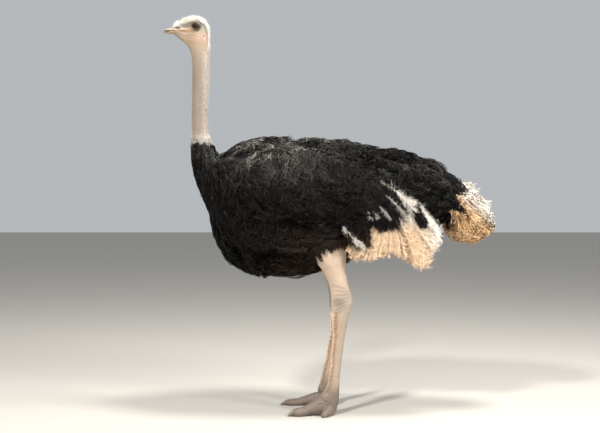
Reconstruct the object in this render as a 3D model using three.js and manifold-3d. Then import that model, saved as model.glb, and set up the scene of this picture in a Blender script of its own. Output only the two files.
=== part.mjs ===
import * as THREE from "three";
import { mergeVertices } from "three/addons/utils/BufferGeometryUtils.js";
import Module from "manifold-3d";

// An adult male ostrich at life size, standing square on both feet with its neck up.
// Millimetres. +Z is up, the bill points to -X and the bird's left side faces -Y.
// X = 0 is midway between bill tip and tail tip, Y = 0 is the midline, Z = 0 is the ground.
// The solids reach out to the tips of the feathers, and neighbours part at thin cuts.

const wasm = await Module();
wasm.setup();

// ---- Driving dimensions

const CUT = 0.4; // clearance left where one solid is cut to fit another

// The right leg stands with its thigh and its foot a little further forwards, and its toe lies longer
// and flatter on the ground. ahead is the forward shift of each slice of the leg, from the top down.
const SIDES = [
  { name: "left", sign: -1, ahead: [], turn: 14, long: 1, high: 1 },
  {
    name: "right",
    sign: 1,
    ahead: [16, 19, 20, 17, 12, 6, 2, 2, 7, 16, 27, 20, 2],
    turn: 0,
    long: 1.17,
    high: 0.8,
  },
];
const EYE_RADIUS = 23.5;
const EYE_CENTRE = [-702, 25.5, 2026]; // of the right eye
const NOSTRIL = { centre: [-796, 24, 2018], half: [12, 9, 3.5] };
const MOUTH_CORNER_X = -742;
const MOUTH_HEIGHT = 2006;
const MOUTH_SLOT = 1.4;

// ---- Materials

const material = (color, roughness) =>
  new THREE.MeshStandardMaterial({ color, roughness, metalness: 0 });
const blackPlume = material(0x15110f, 0.8);
const whitePlume = material(0xe9dccb, 0.85);
const tailPlume = material(0xc9a27a, 0.85);
const paleSkin = material(0xcdb5a4, 0.6);
const legSkin = material(0xcfb8a0, 0.55);
const horn = material(0xc9b49a, 0.4);
const claw = material(0x6f6152, 0.45);
const eyeBrown = material(0x1d0f08, 0.1);

// ---- Slices: every long form is a tube through slices that span the body
//
// A slice is [back x, back z, belly x, belly z, half width, lean, y]. The back and belly points
// lie in one upright plane, lean above 0 makes the slice broader at the back than at the belly,
// and y moves it sideways. Places along a tube are counted in slices, fractions included.

// Catmull-Rom value of one column of the slices at a place
function column(slices, index, place) {
  const first = Math.min(Math.floor(place), slices.length - 2);
  const near = [-1, 0, 1, 2].map(
    (step) => slices[THREE.MathUtils.clamp(first + step, 0, slices.length - 1)][index] ?? 0,
  );
  const [a, b, c, d] = near;
  const t = place - first;
  return b + 0.5 * t * (c - a + t * (2 * a - 5 * b + 4 * c - d + t * (3 * (b - c) + d - a)));
}

// A closed tube: a cylinder's vertices, each moved out to the slice at its height
function tube(slices, { from = 0, to = slices.length - 1, around = 16, along = 8 } = {}) {
  const geometry = new THREE.CylinderGeometry(1, 1, 1, around, along);
  const points = geometry.attributes.position;
  for (let i = 0; i < points.count; i++) {
    const place = from + (points.getY(i) + 0.5) * (to - from);
    const [backX, backZ, bellyX, bellyZ, half, lean, y] = [0, 1, 2, 3, 4, 5, 6].map((index) =>
      column(slices, index, place),
    );
    const up = points.getX(i); // 1 on the back line, -1 on the belly line, 0 in the middle of a cap
    const out = points.getZ(i) * (1 + lean * up);
    points.setXYZ(
      i,
      (backX + bellyX) / 2 + ((backX - bellyX) / 2) * up,
      y + half * out,
      (backZ + bellyZ) / 2 + ((backZ - bellyZ) / 2) * up,
    );
  }
  return geometry;
}

// ---- Solids

// The closed mesh alone, its doubled vertices merged and its faces turned outwards
function welded(geometry) {
  const bare = geometry.clone();
  bare.deleteAttribute("normal");
  bare.deleteAttribute("uv");
  const mesh = mergeVertices(bare, 1e-3);
  const corners = mesh.index.array;
  const corner = [new THREE.Vector3(), new THREE.Vector3(), new THREE.Vector3()];
  let volume = 0;
  for (let i = 0; i < corners.length; i += 3) {
    corner.forEach((point, k) => point.fromBufferAttribute(mesh.attributes.position, corners[i + k]));
    volume += corner[0].dot(corner[1].cross(corner[2]));
  }
  if (volume < 0) {
    for (let i = 0; i < corners.length; i += 3) {
      [corners[i + 1], corners[i + 2]] = [corners[i + 2], corners[i + 1]];
    }
  }
  return mesh;
}

function solid(geometry) {
  const mesh = welded(geometry);
  return new wasm.Manifold(
    new wasm.Mesh({
      numProp: 3,
      vertProperties: new Float32Array(mesh.attributes.position.array),
      triVerts: new Uint32Array(mesh.index.array),
    }),
  );
}

// The shape swollen by the clearance, used only to cut its neighbours back from it
function cutter(geometry) {
  const mesh = welded(geometry);
  mesh.computeVertexNormals();
  const { position, normal } = mesh.attributes;
  for (let i = 0; i < position.count; i++) {
    position.setXYZ(
      i,
      position.getX(i) + normal.getX(i) * CUT,
      position.getY(i) + normal.getY(i) * CUT,
      position.getZ(i) + normal.getZ(i) * CUT,
    );
  }
  return solid(mesh);
}

const joined = (solids) => solids.reduce((all, next) => all.add(next));

const ostrich = new THREE.Group();

function addPart(name, made, finish) {
  const { vertProperties, triVerts, numProp } = made.getMesh();
  const geometry = new THREE.BufferGeometry();
  const data = new THREE.InterleavedBuffer(vertProperties, numProp);
  geometry.setAttribute("position", new THREE.InterleavedBufferAttribute(data, 3, 0));
  geometry.setIndex(new THREE.BufferAttribute(triVerts, 1));
  const flat = geometry.toNonIndexed();
  flat.computeVertexNormals();
  const mesh = new THREE.Mesh(flat, finish);
  mesh.name = name;
  ostrich.add(mesh);
}

// ---- Head, neck, trunk and tail: one run of slices from the root of the bill to the tail tips

const BODY = [
  // head, its crown fuzz counted in
  [-820, 2041, -826, 1991, 24, 0],
  [-786, 2077, -793, 1966, 34, 0.05],
  [-713, 2096, -763, 1941, 45, 0.18],
  [-652, 2070, -745, 1917, 45, 0.1],
  [-636, 1990, -736, 1889, 41, 0],
  // bare neck
  [-632, 1865, -731, 1826, 38, 0],
  [-635, 1700, -733, 1690, 37, 0],
  [-643, 1560, -736, 1556, 38, 0],
  [-632, 1460, -733, 1446, 42, 0],
  [-612, 1408, -734, 1382, 52, 0],
  // feathered foot of the neck
  [-598, 1370, -722, 1282, 78, 0.05],
  [-582, 1362, -693, 1172, 118, 0.1],
  // trunk
  [-540, 1378, -640, 1060, 165, 0.1],
  [-452, 1420, -608, 928, 208, 0.08],
  [-352, 1440, -545, 810, 236, 0.06],
  [-230, 1440, -420, 728, 252, 0.06],
  [-100, 1436, -290, 708, 258, 0.1],
  [30, 1427, -110, 728, 258, 0.14],
  [165, 1405, 70, 778, 248, 0.16],
  [300, 1382, 215, 824, 228, 0.16],
  [430, 1357, 350, 868, 200, 0.14],
  [545, 1318, 470, 916, 168, 0.1],
  [640, 1258, 555, 968, 140, 0.05],
  [712, 1202, 602, 998, 122, 0],
  // white tail plumes
  [768, 1172, 606, 966, 130, 0],
  [828, 1110, 632, 920, 126, 0],
  [864, 1048, 690, 892, 100, 0],
  [877, 995, 768, 890, 58, 0],
  [874, 955, 822, 908, 24, 0],
];

// Named lengths of the run, and how finely each is cut
const LENGTHS = {
  head: { from: 0, to: 4, around: 18, along: 8, finish: paleSkin },
  neck_upper: { from: 4, to: 6, around: 14, along: 5, finish: paleSkin },
  neck_middle: { from: 6, to: 7.5, around: 14, along: 3, finish: paleSkin },
  neck_lower: { from: 7.5, to: 9, around: 14, along: 3, finish: paleSkin },
  neck_base: { from: 9, to: 11, around: 20, along: 4, finish: blackPlume },
  trunk: { from: 11, to: 20, around: 22, along: 11, finish: blackPlume },
  rump: { from: 20, to: 23, around: 22, along: 4, finish: blackPlume },
  tail_plumes: { from: 23, to: 28, around: 18, along: 7, finish: tailPlume },
};
const PLANE_GAP = 0.0025; // of a slice, kept clear on each side of a cut between two lengths

const bodyLength = (name) => {
  const { from, to, ...fineness } = LENGTHS[name];
  return tube(BODY, { from: from + PLANE_GAP, to: to - PLANE_GAP, ...fineness });
};

// ---- Wings: folded along the flanks, with three rounded lobes of black coverts over white plumes

const WING = [
  [-500, 1232, -478, 1150, 22, 0, 150],
  [-420, 1325, -400, 1080, 50, 0, 178],
  [-262, 1372, -280, 1012, 62, 0, 208],
  [-60, 1360, -110, 985, 66, 0, 222],
  [150, 1300, 70, 970, 62, 0, 214],
  [320, 1215, 250, 975, 50, 0, 196],
  [440, 1110, 400, 985, 32, 0, 176],
  [494, 1030, 478, 980, 14, 0, 164],
];

// A bunch of plumes: a flattened ellipsoid from root to tip, each [x, z], on the right-hand side
function bunch({ root, tip, half, y, thick = BUNCH_THICKNESS }) {
  const [dx, dz] = [tip[0] - root[0], tip[1] - root[1]];
  return new THREE.SphereGeometry(1, 8, 5)
    .rotateZ(Math.PI / 2)
    .scale(Math.hypot(dx, dz) / 2, thick, half)
    .rotateY(-Math.atan2(dz, dx))
    .translate((root[0] + tip[0]) / 2, y, (root[1] + tip[1]) / 2);
}

const BUNCH_THICKNESS = 26;
const COVERT_BUNCHES = [
  { root: [-40, 1130], tip: [158, 884], half: 78, thick: 44, y: 222 },
  { root: [120, 1150], tip: [322, 966], half: 78, thick: 42, y: 212 },
  { root: [300, 1130], tip: [492, 972], half: 40, thick: 32, y: 182 },
];

// White primaries and their coverts, from the bunch nearest the thigh to the one nearest the tail
const PLUME_BUNCHES = [
  { root: [214, 1000], tip: [96, 806], half: 52, y: 208 },
  { root: [246, 1010], tip: [160, 782], half: 60, y: 212 },
  { root: [272, 1010], tip: [254, 772], half: 68, y: 215 },
  { root: [302, 1030], tip: [396, 782], half: 82, y: 214 },
  { root: [340, 1050], tip: [482, 752], half: 56, y: 208 },
  { root: [330, 1090], tip: [530, 824], half: 74, y: 202 },
  { root: [300, 1120], tip: [562, 898], half: 68, y: 192 },
];

// A left-hand shape is its right-hand one turned over the midline
const onSide = (geometry, sign) => (sign > 0 ? geometry : geometry.clone().scale(1, -1, 1));

// ---- Legs: bare from the drumstick down. Slices run from the hip down to the ankle

const LEG_SHAPE = [
  // drumstick, from inside the flank feathers to the hock
  [96, 960, -118, 990, 52, 0, 118],
  [98, 890, -112, 880, 74, 0, 132],
  [84, 815, -76, 800, 70, 0, 128],
  [83, 748, -38, 742, 56, 0, 122],
  [96, 672, -8, 680, 44, 0, 119],
  // hock
  [114, 620, 2, 628, 41, 0, 118],
  [120, 578, 4, 574, 42, 0, 118],
  [104, 520, 6, 518, 34, 0, 118],
  // shank
  [82, 425, 12, 424, 26, 0, 118],
  [64, 300, 5, 300, 24, 0, 119],
  [52, 185, -8, 188, 26, 0, 120],
  [49, 118, -26, 132, 31, 0, 120],
  // foot joint, bending forwards over the toes
  [46, 68, -56, 94, 37, 0, 121],
  [34, 22, -62, 60, 37, 0, 121],
  [14, -4, -58, 20, 30, 0, 121],
];
const LEG_LENGTHS = {
  drumstick: { from: 0, to: 4.6, around: 14, along: 6 },
  hock: { from: 4.6, to: 7.2, around: 14, along: 4 },
  shank: { from: 7.2, to: 11, around: 14, along: 4 },
  foot: { from: 11, to: 14, around: 14, along: 4 },
};

// Top line over underside, along X. The underside dips below the ground and is cut off flat there.
const MAIN_TOE = [
  [-8, 78, -8, -8, 28],
  [-52, 91, -54, -8, 37],
  [-102, 69, -104, 4, 32],
  [-140, 50, -142, -6, 31],
  [-178, 42, -180, -8, 30],
  [-200, 33, -200, 2, 20],
];
const MAIN_CLAW = [
  [-184, 40, -182, 10, 14],
  [-200, 34, -194, 4, 12.5],
  [-216, 20, -208, 2, 9],
  [-226, 5, -219, 1, 4],
];
const OUTER_TOE = [
  [12, 48, 12, 0, 18],
  [-6, 56, -6, -8, 25],
  [-34, 43, -34, -6, 23],
  [-62, 31, -62, -6, 20],
  [-78, 18, -78, 2, 9],
];
const MAIN_TOE_ROOT = [0, 120]; // x, y of its knuckle
const OUTER_TOE_ROOT = [2, 143];
const OUTER_TOE_TURN = 42; // degrees outwards from the main toe

const legSlices = (ahead) =>
  LEG_SHAPE.map(([backX, backZ, bellyX, bellyZ, ...rest], i) => {
    const shift = ahead[i] ?? 0;
    return [backX - shift, backZ, bellyX - shift, bellyZ, ...rest];
  });

// A toe or claw lies along -X until it is turned outwards about its knuckle
const splay = (geometry, turn, [x, y]) =>
  geometry.rotateZ(THREE.MathUtils.degToRad(-turn)).translate(x, y, 0);

const ground = solid(new THREE.BoxGeometry(3000, 1200, 100).translate(0, 0, -50));

// ---- Building

// Head: sockets, nostrils and the slot of the closed mouth are cut out of it
function buildHead() {
  let head = solid(bodyLength("head"));
  for (const { name, sign } of SIDES) {
    const [x, y, z] = EYE_CENTRE;
    const ball = new THREE.SphereGeometry(EYE_RADIUS, 12, 8).translate(x, sign * y, z);
    head = head.subtract(cutter(ball));
    addPart(`eye_${name}`, solid(ball), eyeBrown);
    const [nx, ny, nz] = NOSTRIL.centre;
    const pit = new THREE.SphereGeometry(1, 8, 4).scale(...NOSTRIL.half).translate(nx, sign * ny, nz);
    head = head.subtract(solid(pit));
  }
  const slotLength = MOUTH_CORNER_X + 840;
  const slot = new THREE.BoxGeometry(slotLength, 120, MOUTH_SLOT);
  slot.translate(MOUTH_CORNER_X - slotLength / 2, 0, MOUTH_HEIGHT);
  addPart("head", head.subtract(solid(slot)), paleSkin);
}

// Bill: broad and flat, its upper half ending in a nail that turns down over the lower
const BILL_UPPER = [
  [-876.5, 2010.5, -874.8, 2002, 6],
  [-869, 2016, -868, 1996, 12.5],
  [-853, 2020.5, -853, 2005.5, 18],
  [-836, 2025, -838, 2006.7, 21.5],
  [-820, 2030, -824, 2006.7, 23.5],
];
const BILL_LOWER = [
  [-862.5, 1999.5, -862, 1996, 9],
  [-853, 2003.8, -852, 1994, 15],
  [-838, 2005.3, -840, 1992.5, 19],
  [-824, 2005.3, -826.5, 1992, 22],
];

function buildBill() {
  const upper = tube(BILL_UPPER, { around: 12, along: 6, to: 3.86 });
  addPart("bill_upper", solid(upper), horn);
  const lower = tube(BILL_LOWER, { around: 12, along: 4, to: 2.9 });
  addPart("bill_lower", solid(lower).subtract(cutter(upper)), horn);
}

function buildWing({ name, sign }) {
  const black = [tube(WING, { around: 12, along: 7 }), ...COVERT_BUNCHES.map(bunch)];
  const white = PLUME_BUNCHES.map(bunch);
  const sided = (shapes, make) => joined(shapes.map((shape) => make(onSide(shape, sign))));
  const coverts = sided(black, solid);
  const plumes = sided(white, solid).subtract(sided(black, cutter));
  addPart(`wing_${name}`, coverts, blackPlume);
  addPart(`wing_plumes_${name}`, plumes, whitePlume);
  return sided([...black, ...white], cutter);
}

function buildLeg({ name, sign, ahead, turn, long, high }) {
  const slices = legSlices(ahead);
  const piece = (part) => {
    const { from, to, ...fineness } = LEG_LENGTHS[part];
    return onSide(tube(slices, { from: from + PLANE_GAP, to: to - PLANE_GAP, ...fineness }), sign);
  };
  const main = (shape, fineness) =>
    onSide(splay(tube(shape, fineness).scale(long, 1, high), turn, MAIN_TOE_ROOT), sign);
  const toeMain = main(MAIN_TOE, { around: 10, along: 6 });
  const toeClaw = main(MAIN_CLAW, { around: 10, along: 4 });
  const outer = tube(OUTER_TOE, { around: 10, along: 5 });
  const toeOuter = onSide(splay(outer, turn + OUTER_TOE_TURN, OUTER_TOE_ROOT), sign);
  const foot = piece("foot");

  for (const part of ["drumstick", "hock", "shank"]) {
    addPart(`${part}_${name}`, solid(piece(part)), legSkin);
  }
  addPart(`foot_${name}`, solid(foot).subtract(ground), legSkin);
  addPart(`claw_${name}`, solid(toeClaw).subtract(ground), claw);
  const cutToe = (shape, ...neighbours) =>
    largest(solid(shape).subtract(joined(neighbours.map(cutter))).subtract(ground));
  addPart(`toe_main_${name}`, cutToe(toeMain, foot, toeClaw), legSkin);
  addPart(`toe_outer_${name}`, cutToe(toeOuter, foot, toeMain), legSkin);
  return cutter(piece("drumstick"));
}

// The biggest of the bodies that a cut leaves
const largest = (made) =>
  made.decompose().reduce((best, next) => (next.volume() > best.volume() ? next : best));

buildHead();
buildBill();
for (const name of ["neck_upper", "neck_middle", "neck_lower", "neck_base", "tail_plumes"]) {
  addPart(name, solid(bodyLength(name)), LENGTHS[name].finish);
}
const wings = joined(SIDES.map(buildWing));
const legs = joined(SIDES.map(buildLeg));
addPart("trunk", largest(solid(bodyLength("trunk")).subtract(wings).subtract(legs)), blackPlume);
addPart("rump", largest(solid(bodyLength("rump")).subtract(wings)), blackPlume);

export default ostrich;
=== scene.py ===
import math
from functools import partial

import bmesh
import bpy
import numpy as np
from mathutils import Matrix, Vector


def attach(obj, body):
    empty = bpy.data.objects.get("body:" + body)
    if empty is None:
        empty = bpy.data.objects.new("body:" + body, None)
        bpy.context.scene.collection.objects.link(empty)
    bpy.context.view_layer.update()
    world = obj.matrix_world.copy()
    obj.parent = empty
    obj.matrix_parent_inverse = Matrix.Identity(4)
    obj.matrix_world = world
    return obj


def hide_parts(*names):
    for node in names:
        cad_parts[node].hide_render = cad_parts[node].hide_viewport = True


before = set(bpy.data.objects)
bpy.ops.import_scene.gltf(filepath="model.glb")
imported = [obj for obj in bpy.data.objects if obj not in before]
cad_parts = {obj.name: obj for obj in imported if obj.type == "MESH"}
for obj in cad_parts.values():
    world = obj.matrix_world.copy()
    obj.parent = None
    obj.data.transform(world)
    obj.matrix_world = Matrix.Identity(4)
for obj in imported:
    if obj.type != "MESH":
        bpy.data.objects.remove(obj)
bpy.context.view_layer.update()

# ---- Camera
# A long lens on a stand at chest height, almost level with the bird's back and square to its left side.
# It dips a little, so that both the crown and the feet are in the frame.

CAMERA_PLACE = (-0.156, -5.4, 1.112)
CAMERA_DIP = 0.905  # degrees below level
LENS_MM = 61.13
FILM_MM = 36.0

camera = bpy.data.objects.new("camera", bpy.data.cameras.new("camera"))
bpy.context.scene.collection.objects.link(camera)
camera.data.lens = LENS_MM
camera.data.sensor_width = FILM_MM
camera.location = CAMERA_PLACE
camera.rotation_euler = (math.radians(90 - CAMERA_DIP), 0, 0)
bpy.context.scene.camera = camera
bpy.context.scene.view_settings.view_transform = "Standard"


# ---- Skin
# One bare skin from the root of the bill to the stump of the tail and down to the soles of both feet.
# It is thin and warm-toned where it shows, on the head, neck and legs, and dark under the plumes.

# Its forms are tubes through slices: back x, back z, belly x, belly z, half width, lean, y,
# then how deep the coat is over the skin at the back and at the belly.
BODY = [
    # head
    (-0.820, 2.041, -0.826, 1.991, 0.024, 0.00, 0, 0.011, 0.0008),
    (-0.786, 2.077, -0.793, 1.966, 0.034, 0.05, 0, 0.024, 0.001),
    (-0.713, 2.096, -0.763, 1.941, 0.045, 0.18, 0, 0.024, 0.001),
    (-0.652, 2.070, -0.745, 1.917, 0.045, 0.10, 0, 0.022, 0.002),
    (-0.636, 1.990, -0.736, 1.889, 0.041, 0.00, 0, 0.011, 0.004),
    # bare neck
    (-0.632, 1.865, -0.731, 1.826, 0.038, 0.00, 0, 0.007, 0.005),
    (-0.635, 1.700, -0.733, 1.690, 0.037, 0.00, 0, 0.006, 0.005),
    (-0.643, 1.560, -0.736, 1.556, 0.038, 0.00, 0, 0.005, 0.005),
    (-0.632, 1.460, -0.733, 1.446, 0.042, 0.00, 0, 0.006, 0.005),
    (-0.612, 1.408, -0.734, 1.382, 0.052, 0.00, 0, 0.009, 0.008),
    # feathered foot of the neck
    (-0.598, 1.370, -0.722, 1.282, 0.078, 0.05, 0, 0.024, 0.024),
    (-0.582, 1.362, -0.693, 1.172, 0.118, 0.10, 0, 0.036, 0.036),
    # trunk
    (-0.540, 1.378, -0.640, 1.060, 0.165, 0.10, 0, 0.050, 0.048),
    (-0.452, 1.420, -0.608, 0.928, 0.208, 0.08, 0, 0.060, 0.060),
    (-0.352, 1.440, -0.545, 0.810, 0.236, 0.06, 0, 0.068, 0.068),
    (-0.230, 1.440, -0.420, 0.728, 0.252, 0.06, 0, 0.075, 0.070),
    (-0.100, 1.436, -0.290, 0.708, 0.258, 0.10, 0, 0.078, 0.070),
    (0.030, 1.427, -0.110, 0.728, 0.258, 0.14, 0, 0.078, 0.070),
    (0.165, 1.405, 0.070, 0.778, 0.248, 0.16, 0, 0.078, 0.070),
    (0.300, 1.382, 0.215, 0.824, 0.228, 0.16, 0, 0.078, 0.072),
    (0.430, 1.357, 0.350, 0.868, 0.200, 0.14, 0, 0.080, 0.080),
    (0.545, 1.318, 0.470, 0.916, 0.168, 0.10, 0, 0.085, 0.085),
    (0.640, 1.258, 0.555, 0.968, 0.140, 0.05, 0, 0.090, 0.090),
    (0.712, 1.202, 0.602, 0.998, 0.122, 0.00, 0, 0.090, 0.095),
    # tail plumes, with only a stump of skin in them
    (0.768, 1.172, 0.606, 0.966, 0.130, 0.00, 0, 0.095, 0.100),
    (0.828, 1.110, 0.632, 0.920, 0.126, 0.00, 0, 0.100, 0.100),
    (0.864, 1.048, 0.690, 0.892, 0.100, 0.00, 0, 0.100, 0.100),
    (0.877, 0.995, 0.768, 0.890, 0.058, 0.00, 0, 0.100, 0.100),
    (0.874, 0.955, 0.822, 0.908, 0.024, 0.00, 0, 0.100, 0.100),
]
LEG = [
    (0.096, 0.960, -0.118, 0.990, 0.052, 0, 0.118, 0.008, 0.008),
    (0.098, 0.890, -0.112, 0.880, 0.074, 0, 0.132, 0.006, 0.006),
    (0.084, 0.815, -0.076, 0.800, 0.070, 0, 0.128, 0.001, 0.001),
    (0.083, 0.748, -0.038, 0.742, 0.056, 0, 0.122, 0.001, 0.001),
    (0.096, 0.672, -0.008, 0.680, 0.044, 0, 0.119, 0.001, 0.001),
    (0.114, 0.620, 0.002, 0.628, 0.041, 0, 0.118, 0.001, 0.001),
    (0.120, 0.578, 0.004, 0.574, 0.042, 0, 0.118, 0.001, 0.001),
    (0.104, 0.520, 0.006, 0.518, 0.034, 0, 0.118, 0.001, 0.002),
    (0.082, 0.425, 0.012, 0.424, 0.026, 0, 0.118, 0.001, 0.003),
    (0.064, 0.300, 0.005, 0.300, 0.024, 0, 0.119, 0.001, 0.003),
    (0.052, 0.185, -0.008, 0.188, 0.026, 0, 0.120, 0.001, 0.003),
    (0.049, 0.118, -0.026, 0.132, 0.031, 0, 0.120, 0.001, 0.003),
    (0.046, 0.068, -0.056, 0.094, 0.037, 0, 0.121, 0.001, 0.002),
    (0.034, 0.022, -0.062, 0.060, 0.037, 0, 0.121, 0.001, 0.001),
    (0.014, -0.004, -0.058, 0.020, 0.030, 0, 0.121, 0.001, 0.001),
]
MAIN_TOE = [
    (-0.008, 0.078, -0.008, -0.008, 0.028, 0, 0, 0.002, 0.0),
    (-0.052, 0.091, -0.054, -0.008, 0.037, 0, 0, 0.003, 0.0),
    (-0.102, 0.069, -0.104, 0.004, 0.032, 0, 0, 0.003, 0.0),
    (-0.140, 0.050, -0.142, -0.006, 0.031, 0, 0, 0.003, 0.0),
    (-0.178, 0.042, -0.180, -0.008, 0.030, 0, 0, 0.002, 0.0),
    (-0.200, 0.033, -0.200, 0.002, 0.020, 0, 0, 0.001, 0.0),
]
OUTER_TOE = [
    (0.012, 0.048, 0.012, 0.000, 0.018, 0, 0, 0.001, 0.0),
    (-0.006, 0.056, -0.006, -0.008, 0.025, 0, 0, 0.002, 0.0),
    (-0.034, 0.043, -0.034, -0.006, 0.023, 0, 0, 0.002, 0.0),
    (-0.062, 0.031, -0.062, -0.006, 0.020, 0, 0, 0.002, 0.0),
    (-0.078, 0.018, -0.078, 0.002, 0.009, 0, 0, 0.001, 0.0),
]
WING = [
    (-0.500, 1.232, -0.478, 1.150, 0.022, 0, 0.150, 0.015, 0.015),
    (-0.420, 1.325, -0.400, 1.080, 0.050, 0, 0.178, 0.030, 0.030),
    (-0.262, 1.372, -0.280, 1.012, 0.062, 0, 0.208, 0.035, 0.035),
    (-0.060, 1.360, -0.110, 0.985, 0.066, 0, 0.222, 0.035, 0.035),
    (0.150, 1.300, 0.070, 0.970, 0.062, 0, 0.214, 0.035, 0.035),
    (0.320, 1.215, 0.250, 0.975, 0.050, 0, 0.196, 0.030, 0.030),
    (0.440, 1.110, 0.400, 0.985, 0.032, 0, 0.176, 0.020, 0.020),
    (0.494, 1.030, 0.478, 0.980, 0.014, 0, 0.164, 0.010, 0.010),
]
# The right leg's thigh and foot stand a little further forwards, and its main toe lies longer and flatter.
# ahead is the forward shift of each slice of the leg, from the top down.
SIDES = {
    "left": {"sign": -1, "ahead": (0,) * 15, "turn": 14, "long": 1.0, "high": 1.0},
    "right": {
        "sign": 1,
        "ahead": (
            0.016, 0.019, 0.020, 0.017, 0.012, 0.006, 0.002, 0.002, 0.007, 0.016, 0.027, 0.020, 0.002, 0, 0
        ),
        "turn": 0,
        "long": 1.17,
        "high": 0.8,
    },
}
MAIN_TOE_ROOT = (0.0, 0.120)
OUTER_TOE_ROOT = (0.002, 0.143)
OUTER_TOE_TURN = 42
MOST_INSET = 0.75  # of a form's own reach: the coat is never deeper than this

EYE_CENTRE = (-0.702, 0.0255, 2.026)
EYE_RADIUS = 0.0235
EYE_GAP = 0.0004  # between the eye and its socket
LID_THICKNESS = 0.0018
LID_OPENING = (0.0190, 0.0135)  # half its length and half its height


def sliced(slices, place):
    """The slices' columns, smoothly between them, at every place counted in slices."""
    slices = np.asarray(slices, float)
    place = np.clip(place, 0, len(slices) - 1)
    first = np.minimum(place.astype(int), len(slices) - 2)
    t = (place - first)[..., None]
    a, b, c, d = (slices[np.clip(first + k, 0, len(slices) - 1)] for k in (-1, 0, 1, 2))
    return b + 0.5 * t * (c - a + t * (2 * a - 5 * b + 4 * c - d + t * (3 * (b - c) + d - a)))


def on_form(slices, place, angle, height):
    """Points over a form. angle 0 is its back line and half a turn its belly line,
    height 0 is the skin and 1 the tips of the coat."""
    s = sliced(slices, place)
    up, out = np.cos(angle), np.sin(angle)
    middle = (s[..., 0:2] + s[..., 2:4]) / 2
    arm = (s[..., 0:2] - s[..., 2:4]) / 2
    reach = np.linalg.norm(arm, axis=-1)
    back_share = ((1 + up) / 2) ** 2
    coat = (s[..., 8] + (s[..., 7] - s[..., 8]) * back_share) * (1 - height)
    tall = 1 - np.minimum(coat, MOST_INSET * reach) / reach
    wide = s[..., 4] - np.minimum(coat, MOST_INSET * s[..., 4])
    flat = middle + arm * (tall * up)[..., None]
    y = s[..., 6] + wide * out * (1 + s[..., 5] * up)
    return np.stack([flat[..., 0], y, flat[..., 1]], axis=-1)


def close_ends(bm):
    """Fills the open rings of a tube and turns its faces outwards."""
    bmesh.ops.remove_doubles(bm, verts=bm.verts, dist=1e-6)
    rims = [edge for edge in bm.edges if edge.is_boundary]
    caps = bmesh.ops.holes_fill(bm, edges=rims, sides=0)["faces"]
    bmesh.ops.poke(bm, faces=caps)
    bmesh.ops.recalc_face_normals(bm, faces=bm.faces)


def tube(slices, places, around, height=0.0):
    """A closed tube over a form: a grid rolled round it, one ring at each of the places."""
    bm = bmesh.new()
    verts = bmesh.ops.create_grid(bm, x_segments=around, y_segments=len(places) - 1, size=1)["verts"]
    grid = np.array([vert.co[:2] for vert in verts])
    place = np.interp(grid[:, 1], np.linspace(-1, 1, len(places)), places)
    for vert, point in zip(verts, on_form(slices, place, math.pi * grid[:, 0], height)):
        vert.co = point
    close_ends(bm)
    return bm


def made(name, bm):
    """The finished mesh as an object at the origin, smooth shaded."""
    mesh = bpy.data.meshes.new(name)
    bmesh.ops.recalc_face_normals(bm, faces=bm.faces)
    bm.to_mesh(mesh)
    bm.free()
    mesh.polygons.foreach_set("use_smooth", np.ones(len(mesh.polygons), bool))
    thing = bpy.data.objects.new(name, mesh)
    bpy.context.scene.collection.objects.link(thing)
    return thing


def read_points(mesh):
    points = np.empty(len(mesh.vertices) * 3)
    mesh.vertices.foreach_get("co", points)
    return points.reshape(-1, 3)


def write_points(mesh, points):
    mesh.vertices.foreach_set("co", points.ravel())
    mesh.update()


def settle(mesh):
    """Puts vertices, faces and first corners in one fixed order, as a join leaves them in any order and what
    is grown on them would then differ from run to run. A face of four keeps the diagonal it is split along."""
    points = read_points(mesh)
    order = np.lexsort(points.T)
    rank = np.argsort(order)
    corners, first, sides = (np.empty(len(part), int) for part in (mesh.loops, mesh.polygons, mesh.polygons))
    mesh.loops.foreach_get("vertex_index", corners)
    mesh.polygons.foreach_get("loop_start", first)
    mesh.polygons.foreach_get("loop_total", sides)
    faces = []
    for count in np.unique(sides):
        ring = np.arange(count)
        rings = rank[corners[first[sides == count][:, None] + ring]]
        stride = {3: 1, 4: 2}.get(count, count)
        turn = stride * rings[:, ::stride].argmin(axis=1)
        rings = np.take_along_axis(rings, (turn[:, None] + ring) % count, axis=1)
        faces += rings[np.lexsort(rings.T[::-1])].tolist()
    mesh.clear_geometry()
    mesh.from_pydata(points[order], [], faces)


def work(target, tool, operation):
    """Joins target with tool, or cuts it by tool, and throws the tool away."""
    step = target.modifiers.new("step", "BOOLEAN")
    step.object = tool
    step.operation = operation
    step.solver = "MANIFOLD"
    graph = bpy.context.evaluated_depsgraph_get()
    result = bpy.data.meshes.new_from_object(target.evaluated_get(graph))
    target.modifiers.clear()
    target.data = result
    bpy.data.objects.remove(tool)


def placed(bm, *, scale=(1, 1, 1), turn=0.0, at=(0, 0, 0), sign=1):
    """Stretches, turns about +Z in degrees, moves and, for the left side, mirrors a bmesh."""
    matrix = Matrix.Diagonal((1, sign, 1, 1)) @ Matrix.Translation(at)
    matrix = matrix @ Matrix.Rotation(math.radians(turn), 4, "Z") @ Matrix.Diagonal((*scale, 1))
    bmesh.ops.transform(bm, matrix=matrix, verts=bm.verts)
    return bm


def leg_slices(side):
    """The leg's slices, with those below the hock moved ahead as that leg stands."""
    moved = np.array(LEG)
    moved[:, [0, 2]] -= np.array(SIDES[side]["ahead"])[:, None]
    return moved


def stand_toe(bm, side, root, turn=0.0, stretched=True):
    """Sets a toe or claw that lies along -X at its knuckle, splayed as that foot stands."""
    pose = SIDES[side]
    scale = (pose["long"], 1, pose["high"]) if stretched else (1, 1, 1)
    return placed(bm, scale=scale, turn=-pose["turn"] - turn, at=(*root, 0), sign=pose["sign"])


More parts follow.
